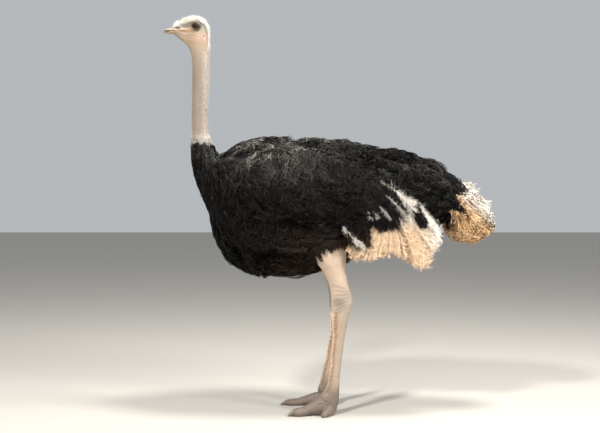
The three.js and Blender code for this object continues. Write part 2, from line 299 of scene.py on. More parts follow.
def ball(centre, radius, fine=32, scale=(1, 1, 1), sign=1):
    bm = bmesh.new()
    bmesh.ops.create_uvsphere(bm, u_segments=2 * fine, v_segments=fine, radius=radius)
    return placed(bm, scale=scale, at=centre, sign=sign)


def lid_opening(sign):
    """A prism with the almond outline of the open lids, from the eye's middle out past the lids."""
    half_long, half_high = LID_OPENING
    bm = bmesh.new()
    rim = bmesh.ops.create_circle(bm, segments=64, radius=1, cap_ends=True)["verts"]
    for vert in rim:
        x, y = vert.co.x, vert.co.y
        vert.co = (x * half_long, 0, (y * half_high) * (1 - 0.25 * x * x) - 0.0015 * x)
    grown = bmesh.ops.extrude_face_region(bm, geom=bm.faces[:])["geom"]
    shift = (0, 0.05, 0)
    bmesh.ops.translate(bm, verts=[v for v in grown if isinstance(v, bmesh.types.BMVert)], vec=shift)
    x, y, z = EYE_CENTRE
    return placed(bm, at=(x, y + 0.004, z), sign=sign)


def spot(points, x, z, wide, high):
    """1 at a place seen from the side, falling to 0 around it."""
    return np.exp(-(((points[:, 0] - x) / wide) ** 2) - ((points[:, 2] - z) / high) ** 2)


def ramp(value, low, high):
    """0 below low and 1 above high, smooth between."""
    t = np.clip((value - low) / (high - low), 0, 1)
    return t * t * (3 - 2 * t)


def blotch(points, x, z, wide, high):
    """1 over a patch seen from the side, with a short soft edge."""
    return np.exp(-((((points[:, 0] - x) / wide) ** 2 + ((points[:, 2] - z) / high) ** 2) ** 2))


def crease(points, x, z, length, slope, thick):
    """1 along a short line seen from the side, rising by slope, falling to 0 around it."""
    off = points[:, 2] - z - slope * (points[:, 0] - x)
    return np.exp(-((off / thick) ** 2) - ((points[:, 0] - x) / length) ** 4)


FOLDS = (  # of the cheek and throat: x, z, length and slope of each, seen from the side
    (-0.722, 1.991, 0.020, -0.35), (-0.746, 1.985, 0.020, -0.55), (-0.720, 1.962, 0.028, -0.42),
    (-0.704, 1.974, 0.026, -0.30), (-0.735, 1.945, 0.024, -0.55), (-0.700, 1.944, 0.032, -0.20),
    (-0.692, 1.918, 0.034, 0.05), (-0.705, 1.885, 0.036, 0.12),
)
# The first of the folds are painted darker ochre in their depth, as painted shade in the creases.
CHEEK_FOLDS = 6  # of them are ochre in their depth
# The hock's wrinkles are only painted, as dark lines of painted shade in the creases.
HOCK_FOLDS = (  # wrinkles that fan out from the hock
    (0.050, 0.664, 0.034, -0.25), (0.056, 0.644, 0.036, -0.10), (0.060, 0.624, 0.038, 0.05),
    (0.062, 0.604, 0.038, 0.22), (0.060, 0.582, 0.036, 0.40), (0.055, 0.560, 0.034, 0.55),
    (0.050, 0.538, 0.030, 0.65),
)


# Height, then x, z, half width and half height of the brow, lore, cheek, ear and the ear's hollow
BULGES = (
    (0.0032, -0.708, 2.056, 0.028, 0.007), (-0.0040, -0.748, 2.026, 0.017, 0.012),
    (0.0026, -0.738, 1.984, 0.024, 0.012), (0.0020, -0.660, 1.972, 0.012, 0.016),
    (-0.0065, -0.660, 1.972, 0.005, 0.0075),
)
# Height, then x, z, length, slope and thickness of the lower lip, the upper lip and the gape's corner
LIPS = (
    (0.0020, -0.778, 2.0000, 0.035, -0.02, 0.0034), (0.0014, -0.778, 2.0115, 0.035, -0.05, 0.0030),
    (-0.0022, -0.727, 2.0010, 0.018, -0.25, 0.0026),
)


def head_relief(points):
    """How far the head's skin stands out from the plain tube."""
    side = ramp(np.abs(points[:, 1]), 0.006, 0.020)
    front = 0.0026 * np.exp(-(((points[:, 0] + 0.8235) / 0.0045) ** 2))
    relief = 0
    for height, *shape in BULGES:
        relief = relief + height * spot(points, *shape)
    for height, *shape in LIPS:
        relief = relief + height * crease(points, *shape)
    for x, z, length, slope in FOLDS:
        relief -= 0.0016 * crease(points, x, z, length, slope, 0.0020)
        relief += 0.0010 * crease(points, x, z - 0.0045, length, slope, 0.0028)
    return relief * side - front


def lid_distance(points):
    """How far out from the middle of the open lids a point near an eye lies, 1 on their edge."""
    x, y, z = EYE_CENTRE
    half_long, half_high = LID_OPENING
    across = (points[:, 0] - x) / half_long
    up = points[:, 2] - z + 0.0015 * across
    return np.hypot(across, up / (half_high * np.maximum(1 - 0.25 * across**2, 0.4)))


LID_RINGS = (  # height, distance in lid openings and thickness of the lid's edge and the folds round it
    (0.0011, 1.10, 0.09), (-0.0012, 1.34, 0.07), (0.0009, 1.52, 0.09), (-0.0011, 1.74, 0.07),
    (0.0006, 1.92, 0.10), (-0.0006, 2.12, 0.08),
)


def lid_relief(points):
    """How far each point near an eye is pushed away from it by the lids' rings."""
    out = lid_distance(points)
    relief = sum(height * np.exp(-(((out - far) / thick) ** 2)) for height, far, thick in LID_RINGS)
    middle = np.stack([np.full(len(points), EYE_CENTRE[0]), np.sign(points[:, 1]) * EYE_CENTRE[1],
                       np.full(len(points), EYE_CENTRE[2])], axis=1)
    away = points - middle
    far = np.linalg.norm(away, axis=1, keepdims=True)
    near = np.abs(points[:, 1]) > EYE_CENTRE[1] + 0.004
    near &= (far[:, 0] < 0.042) & (far[:, 0] > EYE_RADIUS + 0.001)
    return (relief * near)[:, None] * away / far


head_rings = np.linspace(0, 4, 84)
neck_rings = np.linspace(4, 9.3, 74)
trunk_rings = np.linspace(9.3, 25, 62)
BODY_RINGS = np.concatenate([head_rings, neck_rings[1:], trunk_rings[1:]])
skin = made("skin", tube(BODY, BODY_RINGS, 128))
points = read_points(skin.data)
on_head = points[:, 2] > 1.90
normals = np.empty(len(points) * 3)
skin.data.vertices.foreach_get("normal", normals)
push = np.where(on_head, head_relief(points), 0)[:, None]
write_points(skin.data, points + push * normals.reshape(-1, 3))

for side, pose in SIDES.items():
    sign = pose["sign"]
    legs = placed(tube(leg_slices(side), np.linspace(0, 14, 150), 48), sign=sign)
    work(skin, made("leg", legs), "UNION")
    toe = stand_toe(tube(MAIN_TOE, np.linspace(0, 5, 60), 40), side, MAIN_TOE_ROOT)
    work(skin, made("toe", toe), "UNION")
    toe = tube(OUTER_TOE, np.linspace(0, 4, 30), 32)
    toe = stand_toe(toe, side, OUTER_TOE_ROOT, turn=OUTER_TOE_TURN, stretched=False)
    work(skin, made("toe", toe), "UNION")
    arm = placed(tube(WING, np.linspace(0.3, 5.5, 24), 32), sign=sign)
    work(skin, made("arm", arm), "UNION")
    dome = ball(EYE_CENTRE, EYE_RADIUS + EYE_GAP + LID_THICKNESS, 72, sign=sign)
    work(skin, made("lids", dome), "UNION")

# The joins are rubbed soft, and the soles are flat on the ground
JOIN_SPOTS = (  # on the right: place, nearest and furthest reach of the rubbing, and how many times
    (EYE_CENTRE, 0.019, 0.040, 12),
    ((-0.03, 0.12, 0.04), 0.0, 0.075, 6),
    ((0.0, 0.12, 0.96), 0.0, 0.160, 4),
)
settle(skin.data)
bm = bmesh.new()
bm.from_mesh(skin.data)
for (x, y, z), near, far, rounds in JOIN_SPOTS:
    lateral = Vector((1, 0, 1)) if near else Vector((1, 1, 1))
    rubbed = [
        v for v in bm.verts for centre in (Vector((x, -y, z)), Vector((x, y, z)))
        if near < ((v.co - centre) * lateral).length < far and (v.co - centre).length < far + 0.01
    ]
    for _ in range(rounds):
        bmesh.ops.smooth_vert(bm, verts=rubbed, factor=0.5, use_axis_x=True, use_axis_y=True, use_axis_z=True)
for vert in bm.verts:
    vert.co.z = max(vert.co.z, 0.0)
bm.to_mesh(skin.data)
bm.free()

NOSTRIL = (-0.7955, 0.0245, 2.0182)
NOSTRIL_HALF = (0.0130, 0.0080, 0.0037)
MOUTH_CORNER = -0.742
MOUTH_HEIGHT = 2.0060
MOUTH_SLIT = 0.0011
for sign in (-1, 1):
    work(skin, made("socket", ball(EYE_CENTRE, EYE_RADIUS + EYE_GAP, sign=sign)), "DIFFERENCE")
    work(skin, made("opening", lid_opening(sign)), "DIFFERENCE")
    work(skin, made("nostril", ball(NOSTRIL, 1, 12, NOSTRIL_HALF, sign)), "DIFFERENCE")
slit = bmesh.new()
bmesh.ops.create_cube(slit, size=1)
placed(slit, scale=(0.1, 0.12, MOUTH_SLIT), at=(MOUTH_CORNER - 0.05, 0, MOUTH_HEIGHT))
work(skin, made("slit", slit), "DIFFERENCE")
settle(skin.data)
points = read_points(skin.data)
write_points(skin.data, points + lid_relief(points))
skin.data.polygons.foreach_set("use_smooth", np.ones(len(skin.data.polygons), bool))

# Its colours, from place to place. The coat takes the same ones at its roots.
CROWN_GREY = (0.66, 0.61, 0.54)
FACE_CREAM = (0.245, 0.190, 0.145)
THROAT_PEACH = (0.37, 0.275, 0.195)
LORE_BROWN = (0.100, 0.064, 0.042)
GAPE_OCHRE = (0.24, 0.125, 0.050)
LIP_WHITE = (0.60, 0.47, 0.37)
TEMPLE_GREY = (0.215, 0.210, 0.155)
LID_DARK = (0.040, 0.028, 0.020)
EAR_PINK = (0.42, 0.24, 0.18)
NECK_BEIGE = (0.235, 0.180, 0.138)
BLACK = (0.0042, 0.0034, 0.0028)
THIGH_CREAM = (0.52, 0.40, 0.305)
HOCK_GREY = (0.38, 0.31, 0.25)
HOCK_DARK = (0.19, 0.160, 0.130)
SHANK_GREY = (0.37, 0.29, 0.22)
FOOT_TAUPE = (0.165, 0.127, 0.103)
CROWN_LINE = [  # x and z of the lower edge of the white fuzz, from the bill over the eye and down the nape
    (-0.826, 2.020), (-0.805, 2.028), (-0.768, 2.036), (-0.747, 2.046), (-0.726, 2.052), (-0.694, 2.053),
    (-0.673, 2.045), (-0.658, 2.030), (-0.648, 2.003), (-0.6425, 1.970), (-0.6415, 1.925), (-0.638, 1.900),
]


def crowned(points):
    """1 on the crown and nape, where the fuzz is long and white, 0 on the face and throat."""
    line = np.interp(points[:, 0], *np.array(CROWN_LINE).T)
    return ramp(points[:, 2] - line, -0.005, 0.006) * ramp(points[:, 2], 1.88, 1.94)


FACE_MARKS = (  # colour, share, and the place and size of each patch and line, from the lips to the temple
    (LIP_WHITE, 0.8, crease, -0.785, 2.0125, 0.040, 0.0, 0.0055),
    (LIP_WHITE, 0.7, crease, -0.775, 1.9945, 0.030, -0.25, 0.0045),
    (LORE_BROWN, 0.72, blotch, -0.746, 2.025, 0.027, 0.0125),
    (LORE_BROWN, 0.70, blotch, -0.724, 2.036, 0.020, 0.016),
    (LORE_BROWN, 0.55, blotch, -0.700, 2.044, 0.030, 0.009),
    (LORE_BROWN, 0.50, blotch, -0.706, 2.004, 0.022, 0.008),
    (GAPE_OCHRE, 0.95, crease, -0.762, 2.0015, 0.044, -0.06, 0.0058),
    (GAPE_OCHRE, 0.90, blotch, -0.728, 1.999, 0.018, 0.007),
    (TEMPLE_GREY, 0.90, blotch, -0.667, 2.020, 0.016, 0.022),
    (TEMPLE_GREY, 0.55, blotch, -0.664, 1.996, 0.016, 0.014),
)


def markings(points):
    """The bird's skin colour at each point, by its place on the body, with painted shade in the nostril, the
    cheek folds and the hock's wrinkles.
    """
    x, z = points[:, 0], points[:, 2]
    tone = np.zeros((len(points), 3)) + BLACK

    def lay(colour, share):
        tone[:] += (np.array(colour) - tone) * share[:, None]

    leg = ramp(-z, -0.96, -0.90) * ramp(x, -0.15, -0.12) * ramp(np.abs(points[:, 1]), 0.035, 0.055)
    leg = np.maximum(leg, ramp(-z, -0.74, -0.70))
    lay(THIGH_CREAM, leg)
    lay(HOCK_GREY, leg * ramp(-z, -0.70, -0.60) * ramp(x, -0.01, 0.05))
    lay(HOCK_DARK, 0.7 * leg * blotch(points, 0.045, 0.588, 0.030, 0.022))
    # Painted shade along the hock's wrinkles.
    for fold in HOCK_FOLDS:
        lay(HOCK_DARK, 0.6 * leg * crease(points, *fold, 0.0045))
    lay(SHANK_GREY, leg * ramp(-z, -0.54, -0.46))
    lay(FOOT_TAUPE, leg * ramp(-z, -0.19, -0.10))
    lay(NECK_BEIGE, ramp(z, 1.400, 1.425) * ramp(-x, 0.55, 0.58))
    head = ramp(z, 1.80, 1.97)
    lay(THROAT_PEACH, head)
    lay(FACE_CREAM, head * ramp(z, 1.97, 2.01))
    lay(NECK_BEIGE, 0.6 * head * ramp(x, -0.70, -0.66))
    lay(CROWN_GREY, head * crowned(points))
    for colour, share, shape, *where in FACE_MARKS:
        lay(colour, share * shape(points, *where))
    lay(EAR_PINK, 0.6 * spot(points, -0.660, 1.970, 0.014, 0.022))
    # The nostril painted near black: painted shade in its hollow.
    lay(LID_DARK, np.exp(-(((x - NOSTRIL[0]) / 0.0125) ** 4) - (((z - NOSTRIL[2]) / 0.0036) ** 4)))
    # Painted shade along the cheek's creases.
    for fold in FOLDS[:CHEEK_FOLDS]:
        lay(GAPE_OCHRE, 0.55 * crease(points, *fold, 0.0028))
    lids = (z > 1.97) & (np.abs(points[:, 1]) > 0.02)
    out = lid_distance(points)
    lay(LORE_BROWN, 0.8 * lids * np.exp(-np.minimum(out / 1.9, 3) ** 6))
    lay(LID_DARK, 0.95 * lids * np.exp(-np.minimum(out / 1.22, 3) ** 10))
    return tone


def paint(mesh, colours):
    layer = mesh.color_attributes.new("marking", "FLOAT_COLOR", "POINT")
    rgba = np.concatenate([colours, np.ones((len(colours), 1))], axis=1)
    layer.data.foreach_set("color", rgba.astype(np.float32).ravel())


paint(skin.data, markings(read_points(skin.data)))


def feed(tree, socket, value):
    """Links value to a socket where it is an output, or sets the socket to it."""
    if isinstance(value, bpy.types.NodeSocket):
        tree.links.new(value, socket)
    else:
        socket.default_value = value


def node(tree, kind, inputs=None, **settings):
    """A shader node with its settings, and its inputs set or linked by name or number."""
    new = tree.nodes.new("ShaderNode" + kind)
    for key, value in settings.items():
        setattr(new, key, value)
    for key, value in (inputs or {}).items():
        feed(tree, new.inputs[key], value)
    return new


def maths(tree, operation, *values, **settings):
    return node(tree, "Math", dict(enumerate(values)), operation=operation, **settings).outputs[0]


def between(tree, value, none, full):
    """0 where value is at none and 1 where it is at full, in a straight line."""
    return node(tree, "MapRange", {"Value": value, "From Min": none, "From Max": full}).outputs[0]


def noise(tree, where, scale, detail):
    return node(tree, "TexNoise", {"Vector": where, "Scale": scale, "Detail": detail}).outputs["Fac"]


def place_on(tree):
    return node(tree, "TexCoord").outputs["Object"]


def painted(tree):
    return node(tree, "Attribute", attribute_name="marking").outputs["Color"]


def material(name, **constants):
    """A material and its Principled shader, with the numbers that are the same all over."""
    made_of = bpy.data.materials.new(name)
    made_of.use_nodes = True
    shader = made_of.node_tree.nodes["Principled BSDF"]
    for key, value in constants.items():
        shader.inputs[key.replace("_", " ").title().replace("Ior", "IOR")].default_value = value
    return made_of, made_of.node_tree, shader


def group(name, inputs, outputs):
    """An empty node group with named sockets: floats, or colours where the value is a tuple."""
    tree = bpy.data.node_groups.new(name, "ShaderNodeTree")
    for key, value in inputs.items():
        kind = {float: "NodeSocketFloat", tuple: "NodeSocketColor", Vector: "NodeSocketVector"}[type(value)]
        socket = tree.interface.new_socket(key, in_out="INPUT", socket_type=kind)
        if not isinstance(value, Vector):
            socket.default_value = value
    for key, kind in outputs.items():
        tree.interface.new_socket(key, in_out="OUTPUT", socket_type=kind)
    return tree, tree.nodes.new("NodeGroupInput").outputs, tree.nodes.new("NodeGroupOutput").inputs


def mottled(tree, colour, where, scale, depth):
    """The colour made uneven by the mottle group, and the clouds that it is made uneven by."""
    inputs = {"Color": colour, "Where": where, "Scale": scale, "Depth": depth}
    return node(tree, "Group", inputs, node_tree=mottle).outputs


def mixed(tree, share, under, over):
    """Colour under with over laid on it by share."""
    return node(tree, "Mix", {0: share, 6: under, 7: over}, data_type="RGBA").outputs[2]


def bumped(tree, shader, strength, distance, height):
    bump = node(tree, "Bump", {"Strength": strength, "Distance": distance, "Height": height})
    tree.links.new(bump.outputs["Normal"], shader.inputs["Normal"])


# Mottle: skin and horn are never one even tone
mottle, given, put = group(
    "mottle",
    {"Color": (0.5, 0.5, 0.5, 1.0), "Where": Vector(), "Scale": 60.0, "Depth": 0.3},
    {"Color": "NodeSocketColor", "Mask": "NodeSocketFloat"},
)
cloud = noise(mottle, given["Where"], given["Scale"], 5.0)
level = maths(mottle, "MULTIPLY", maths(mottle, "SUBTRACT", cloud, 0.5), given["Depth"])
level = maths(mottle, "ADD", maths(mottle, "MULTIPLY", level, 2.0), 1.0)
toned = node(mottle, "VectorMath", {0: given["Color"], 3: level}, operation="SCALE")
mottle.links.new(toned.outputs[0], put["Color"])
mottle.links.new(cloud, put["Mask"])

skin_finish, tree, shader = material("bird skin", roughness=0.55, specular_ior_level=0.35)
where = place_on(tree)
broad = mottled(tree, painted(tree), where, 22.0, 0.22)
fine = mottled(tree, broad["Color"], where, 260.0, 0.30)
tree.links.new(fine["Color"], shader.inputs["Base Color"])
scales = node(tree, "TexVoronoi", {"Vector": where, "Scale": 190.0}, feature="DISTANCE_TO_EDGE")
plate = maths(tree, "MULTIPLY", scales.outputs["Distance"], 3.0, use_clamp=True)
height = node(tree, "SeparateXYZ", {0: where}).outputs["Z"]
scaly = maths(tree, "MULTIPLY", plate, between(tree, height, 0.70, 0.56))
bumped(tree, shader, 0.5, 0.0014, maths(tree, "ADD", scaly, noise(tree, where, 420.0, 4.0)))
skin.data.materials.clear()
skin.data.materials.append(skin_finish)

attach(skin, "root")
FLESH = ["head", "neck_upper", "neck_middle", "neck_lower", "neck_base", "trunk", "rump"]
LIMBS = ("wing", "drumstick", "hock", "shank", "foot", "toe_main", "toe_outer")
for side in SIDES:
    FLESH += [f"{part}_{side}" for part in LIMBS]
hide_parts(*FLESH)


# ---- Eyes
# Each eye is a wet ball almost 50 mm across, dark brown round a black pupil, under a clear bulge.
# It sits in its socket in the skull and looks out to the side through the open lids.

PUPIL_RADIUS = 0.0075
IRIS_RADIUS = 0.0150
CORNEA_RISE = 0.0009

eye_finish, tree, shader = material(
    "eye", roughness=0.4, specular_ior_level=0.1, coat_weight=0.22, coat_roughness=0.04
)
front_view = node(tree, "TexCoord").outputs["UV"]
away = node(tree, "VectorMath", {0: front_view}, operation="LENGTH").outputs["Value"]
ring = node(tree, "ValToRGB", {"Fac": maths(tree, "MULTIPLY", away, 1 / EYE_RADIUS)})
stops = ring.color_ramp.elements
stops[0].position, stops[0].color = PUPIL_RADIUS / EYE_RADIUS, (0.002, 0.002, 0.002, 1)
stops[1].position, stops[1].color = PUPIL_RADIUS / EYE_RADIUS + 0.03, (0.034, 0.013, 0.004, 1)
for at, colour in ((0.56, (0.020, 0.008, 0.003)), (0.64, (0.006, 0.003, 0.002)), (0.80, (0.03, 0.02, 0.016))):
    stops.new(at).color = (*colour, 1)
tree.links.new(ring.outputs["Color"], shader.inputs["Base Color"])

for side, pose in SIDES.items():
    bm = bmesh.new()
    bmesh.ops.create_uvsphere(bm, u_segments=48, v_segments=32, radius=EYE_RADIUS)
    flat = bm.loops.layers.uv.new("front")
    for face in bm.faces:
        for loop in face.loops:
            loop[flat].uv = loop.vert.co.xy
    for vert in bm.verts:
        off_axis = vert.co.xy.length
        if vert.co.z > 0 and off_axis < IRIS_RADIUS:
            vert.co.z += CORNEA_RISE * math.cos(0.5 * math.pi * off_axis / IRIS_RADIUS) ** 2
    bmesh.ops.rotate(bm, verts=bm.verts, matrix=Matrix.Rotation(math.radians(-90), 3, "X"))
    eye = made(f"eye_{side}_ball", placed(bm, turn=8, at=EYE_CENTRE, sign=pose["sign"]))
    eye.data.materials.append(eye_finish)
    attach(eye, "root")
    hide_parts(f"eye_{side}")


# ---- Bill
# Two broad flat sheaths of pale horn over bone, the upper one ending in a nail that hooks down.
# Both run back under the skin of the face, and their cutting edges close on one line.

BILL_UPPER = [  # x, top, where an oval's bottom would be, half width, cutting edge
    (-0.8765, 2.0095, 2.0010, 0.0058, 2.0022),
    (-0.8735, 2.0135, 1.9965, 0.0098, 1.9984),
    (-0.8680, 2.0165, 1.9955, 0.0134, 1.9988),
    (-0.8600, 2.0186, 1.9952, 0.0162, 2.0044),
    (-0.8480, 2.0218, 1.9940, 0.0188, 2.0063),
    (-0.8340, 2.0255, 1.9925, 0.0215, 2.0066),
    (-0.8190, 2.0290, 1.9910, 0.0232, 2.0066),
    (-0.8080, 2.0300, 1.9910, 0.0225, 2.0066),
]
BILL_LOWER = [
    (-0.8655, 2.0040, 1.9960, 0.0068, 1.9995),
    (-0.8610, 2.0120, 1.9940, 0.0118, 2.0022),
    (-0.8530, 2.0190, 1.9930, 0.0158, 2.0045),
    (-0.8400, 2.0240, 1.9918, 0.0198, 2.0054),
    (-0.8240, 2.0280, 1.9912, 0.0226, 2.0054),
    (-0.8120, 2.0290, 1.9920, 0.0222, 2.0054),
]
BILL_PALE = (0.31, 0.275, 0.21, 1)
BILL_WARM = (0.46, 0.32, 0.19, 1)
BILL_STREAK = (0.25, 0.21, 0.155, 1)
NAIL_GREY_AND_SHADE = (0.085, 0.080, 0.065, 1)
GAPE_SHADE = (0.12, 0.075, 0.045, 1)
GAPE_HEIGHT = 2.0062  # where the two sheaths close
NAIL_REACH = 0.855  # how far ahead of the bird's middle the dark streak of the nail lies
FLAT_SHARE = 0.78  # of the grid goes round the outside, the rest across the cutting face


def half_bill(slices, upper):
    """An oval sheath cut off flat along its mouth line, above it or below it."""
    bm = bmesh.new()
    verts = bmesh.ops.create_grid(bm, x_segments=64, y_segments=60, size=1)["verts"]
    grid = np.array([vert.co[:2] for vert in verts])
    s = sliced(slices, (grid[:, 1] + 1) / 2 * (len(slices) - 1))
    middle, tall = (s[:, 1] + s[:, 2]) / 2, (s[:, 1] - s[:, 2]) / 2
    edge = np.arccos(np.clip((s[:, 4] - middle) / tall, -1, 1))
    u = grid[:, 0]
    swing = np.minimum(np.abs(u) / FLAT_SHARE, 1)
    angle = edge * swing if upper else math.pi - (math.pi - edge) * swing
    inward = np.clip((1 - np.abs(u)) / (1 - FLAT_SHARE), 0, 1)
    y = s[:, 3] * np.sin(angle) * inward * np.sign(u)
    z = np.where(inward < 1, s[:, 4], middle + tall * np.cos(angle))
    for vert, x, y, z in zip(verts, s[:, 0], y, z):
        vert.co = (x, y, z)
    close_ends(bm)
    bmesh.ops.smooth_vert(bm, verts=bm.verts, factor=0.5, use_axis_x=True, use_axis_y=True, use_axis_z=True)
    return bm


bill_finish, tree, shader = material("bill horn", roughness=0.48, specular_ior_level=0.4)
where = place_on(tree)
drawn = node(tree, "Mapping", {"Vector": where, "Scale": (0.12, 1.0, 1.0)}).outputs["Vector"]
streaks = noise(tree, drawn, 340.0, 5.0)
grain = node(tree, "ValToRGB", {"Fac": streaks})
grain.color_ramp.elements[0].position, grain.color_ramp.elements[0].color = 0.30, BILL_STREAK
grain.color_ramp.elements[1].position, grain.color_ramp.elements[1].color = 0.52, BILL_PALE
x_place, _, z_place = node(tree, "SeparateXYZ", {0: where}).outputs
warmed = mixed(tree, between(tree, z_place, 2.0075, 2.0035), grain.outputs["Color"], BILL_WARM)
off_gape = maths(tree, "ABSOLUTE", maths(tree, "SUBTRACT", z_place, GAPE_HEIGHT))
off_nail = maths(tree, "ABSOLUTE", maths(tree, "ADD", x_place, NAIL_REACH))
# Grey over the nail near the gape: the nail's own grey horn and painted shade under its hook.
nail = maths(tree, "MULTIPLY", between(tree, off_nail, 0.018, 0.008), between(tree, off_gape, 0.0075, 0.0035))
nailed = mixed(tree, nail, warmed, NAIL_GREY_AND_SHADE)
# A dark line along the gape where the two sheaths meet: painted shade between them.
edge = between(tree, off_gape, 0.0030, 0.0008)
tree.links.new(mixed(tree, edge, nailed, GAPE_SHADE), shader.inputs["Base Color"])
bumped(tree, shader, 0.3, 0.0006, streaks)

for half, shape in (("upper", BILL_UPPER), ("lower", BILL_LOWER)):
    sheath = made(f"bill_{half}_sheath", half_bill(shape, half == "upper"))
    sheath.data.materials.append(bill_finish)
    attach(sheath, "root")
    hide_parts(f"bill_{half}")


# ---- Claws
# One blunt, worn claw of dark horn on each main toe, curved down to the ground.
# It is a hard sheath grown over the toe's last bone, so its root lies inside the skin.

MAIN_CLAW = [
    (-0.184, 0.040, -0.182, 0.010, 0.0140, 0, 0, 0, 0),
    (-0.200, 0.034, -0.194, 0.004, 0.0125, 0, 0, 0, 0),
    (-0.216, 0.020, -0.208, 0.002, 0.0090, 0, 0, 0, 0),
    (-0.226, 0.005, -0.219, 0.001, 0.0040, 0, 0, 0, 0),
]
claw_finish, tree, shader = material("claw horn", roughness=0.45)
tone = mottled(tree, (0.20, 0.15, 0.11, 1), place_on(tree), 140.0, 0.5)
tree.links.new(tone["Color"], shader.inputs["Base Color"])
bumped(tree, shader, 0.4, 0.001, tone["Mask"])
for side in SIDES:
    claw = stand_toe(tube(MAIN_CLAW, np.linspace(0, 3, 24), 24), side, MAIN_TOE_ROOT)
    horn = made(f"claw_{side}_horn", claw)
    horn.data.materials.append(claw_finish)
    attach(horn, "root")
    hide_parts(f"claw_{side}")


# ---- Scutes
# Broad horny plates overlap like tiles down the front of each shank and along the top of each toe.
# Each is a thin domed plate grown from the skin, fixed at its upper edge and free at its lower one.

# Cream on the front of each row and ochre on its sides: partly the scutes' own tones, partly painted light,
# the front painted as lit and the sides as shaded.
SCUTE_CREAM = (0.66, 0.52, 0.40)
SCUTE_OCHRE = (0.33, 0.205, 0.125)
SCUTE_ROWS = {  # form, first and last place, how many, angle of its middle line, half its width in angle
    "shank": (6.7, 12.2, 26, math.pi, 1.42),
    "main": (0.75, 4.6, 15, 0.0, 1.05),
    "outer": (0.9, 3.3, 8, 0.0, 1.0),
}


def scutes(slices, first, last, count, middle, spread):
    """Overlapping curved plates on a form, each domed, with its lower edge standing out."""
    bm = bmesh.new()
    marking = bm.verts.layers.float_color.new("marking")
    edges = first + (last - first) * np.linspace(0, 1, count + 1)
    for k, (start, end) in enumerate(zip(edges[:-1], edges[1:])):
        verts = bmesh.ops.create_grid(bm, x_segments=16, y_segments=5, size=1)["verts"]
        grid = np.array([vert.co[:2] for vert in verts])
        side = grid[:, 0]
        # Ochre towards the sides: partly their own tone, partly painted shade on the sides turned from the
        # light.
        ochre = ramp(np.abs(side) + 0.06 * math.sin(5.1 * k), 0.28, 0.62)[:, None]
        tone = np.array(SCUTE_CREAM) + (np.array(SCUTE_OCHRE) - np.array(SCUTE_CREAM)) * ochre
        run = (grid[:, 1] + 1) / 2
        place = start + (end - start) * (1.12 * run + 0.12 * (1 - side**2) * run)
        wobble = 0.06 * math.sin(2.3 * k)
        lift = -0.35 + (0.85 + 0.45 * run) * (1 - np.abs(side) ** 3.0) * (1 - 0.5 * (2 * run - 1) ** 4)
        points = on_form(slices, place, middle + (spread + wobble) * side, lift)
        for vert, point, colour in zip(verts, points, tone):
            vert.co = point
            vert[marking] = (*colour, 1)
    bmesh.ops.recalc_face_normals(bm, faces=bm.faces)
    bmesh.ops.solidify(bm, geom=bm.verts[:] + bm.edges[:] + bm.faces[:], thickness=0.0008)
    return bm


scute_finish, tree, shader = material("scute horn", roughness=0.42, specular_ior_level=0.4)
where = place_on(tree)
dusty = between(tree, node(tree, "SeparateXYZ", {0: where}).outputs["Z"], 0.22, 0.08)
tone = mottled(tree, mixed(tree, dusty, painted(tree), (*FOOT_TAUPE, 1)), where, 95.0, 0.55)
fine = mottled(tree, tone["Color"], where, 420.0, 0.35)
tree.links.new(fine["Color"], shader.inputs["Base Color"])
bumped(tree, shader, 0.35, 0.0008, fine["Mask"])
for side, pose in SIDES.items():
    outer = scutes(OUTER_TOE, *SCUTE_ROWS["outer"])
    plates = {
        "shank": placed(scutes(leg_slices(side), *SCUTE_ROWS["shank"]), sign=pose["sign"]),
        "main": stand_toe(scutes(MAIN_TOE, *SCUTE_ROWS["main"]), side, MAIN_TOE_ROOT),
        "outer": stand_toe(outer, side, OUTER_TOE_ROOT, turn=OUTER_TOE_TURN, stretched=False),
    }
    for row, bm in plates.items():
        horn = made(f"scutes_{row}_{side}", bm)
        horn.data.materials.append(scute_finish)
        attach(horn, "root")


# ---- Body plumage
# The trunk of a cock is covered with loose black plumes. Their barbs don't hook together, so each plume is
# a soft fringe on both sides of its quill, and the plumes overlap like thatch towards tail and belly.

black_finish, tree, shader = material(
    "black plume", roughness=0.50, specular_ior_level=0.16, sheen_weight=0.01, sheen_roughness=0.35
)
tree.links.new(painted(tree), shader.inputs["Base Color"])
shader.inputs["Sheen Tint"].default_value = (0.80, 0.76, 0.70, 1)


def scatter(form, places, angles, count, rng, keep=None):
    """About count roots spread evenly over a stretch of a form, as places and angles."""
    tries = 4 * count
    step = np.arange(1, tries + 1)
    place = places[0] + (places[1] - places[0]) * np.mod(step * 0.7548776662, 1)
    angle = angles[0] + (angles[1] - angles[0]) * np.mod(step * 0.5698402910, 1)
    along, round_it = scale_of(form, place, angle)
    area = along * round_it
    if keep is not None:
        area = area * keep(form(place, angle, 1.0))
    chosen = rng.random(tries) < area * count / area.sum()
    return place[chosen], angle[chosen]


def scale_of(form, place, angle):
    """Metres over the coat for each step of place and of angle."""
    step = 1e-3
    here = form(place, angle, 1.0)
    along = np.linalg.norm(form(place + step, angle, 1.0) - here, axis=-1) / step
    round_it = np.linalg.norm(form(place, angle + step, 1.0) - here, axis=-1) / step
    return np.maximum(along, 0.01), np.maximum(round_it, 0.005)


def waves(place, angle, rng, count=5, fine=1.0):
    """A soft unevenness between about -1 and 1, the same for neighbours."""
    total = np.zeros(place.shape)
    for _ in range(count):
        a, b, c = rng.uniform(-3, 3) * fine, rng.uniform(-6, 6) * fine, rng.uniform(0, 2 * math.pi)
        total = total + np.sin(a * place + b * angle + c)
    return total / math.sqrt(count)


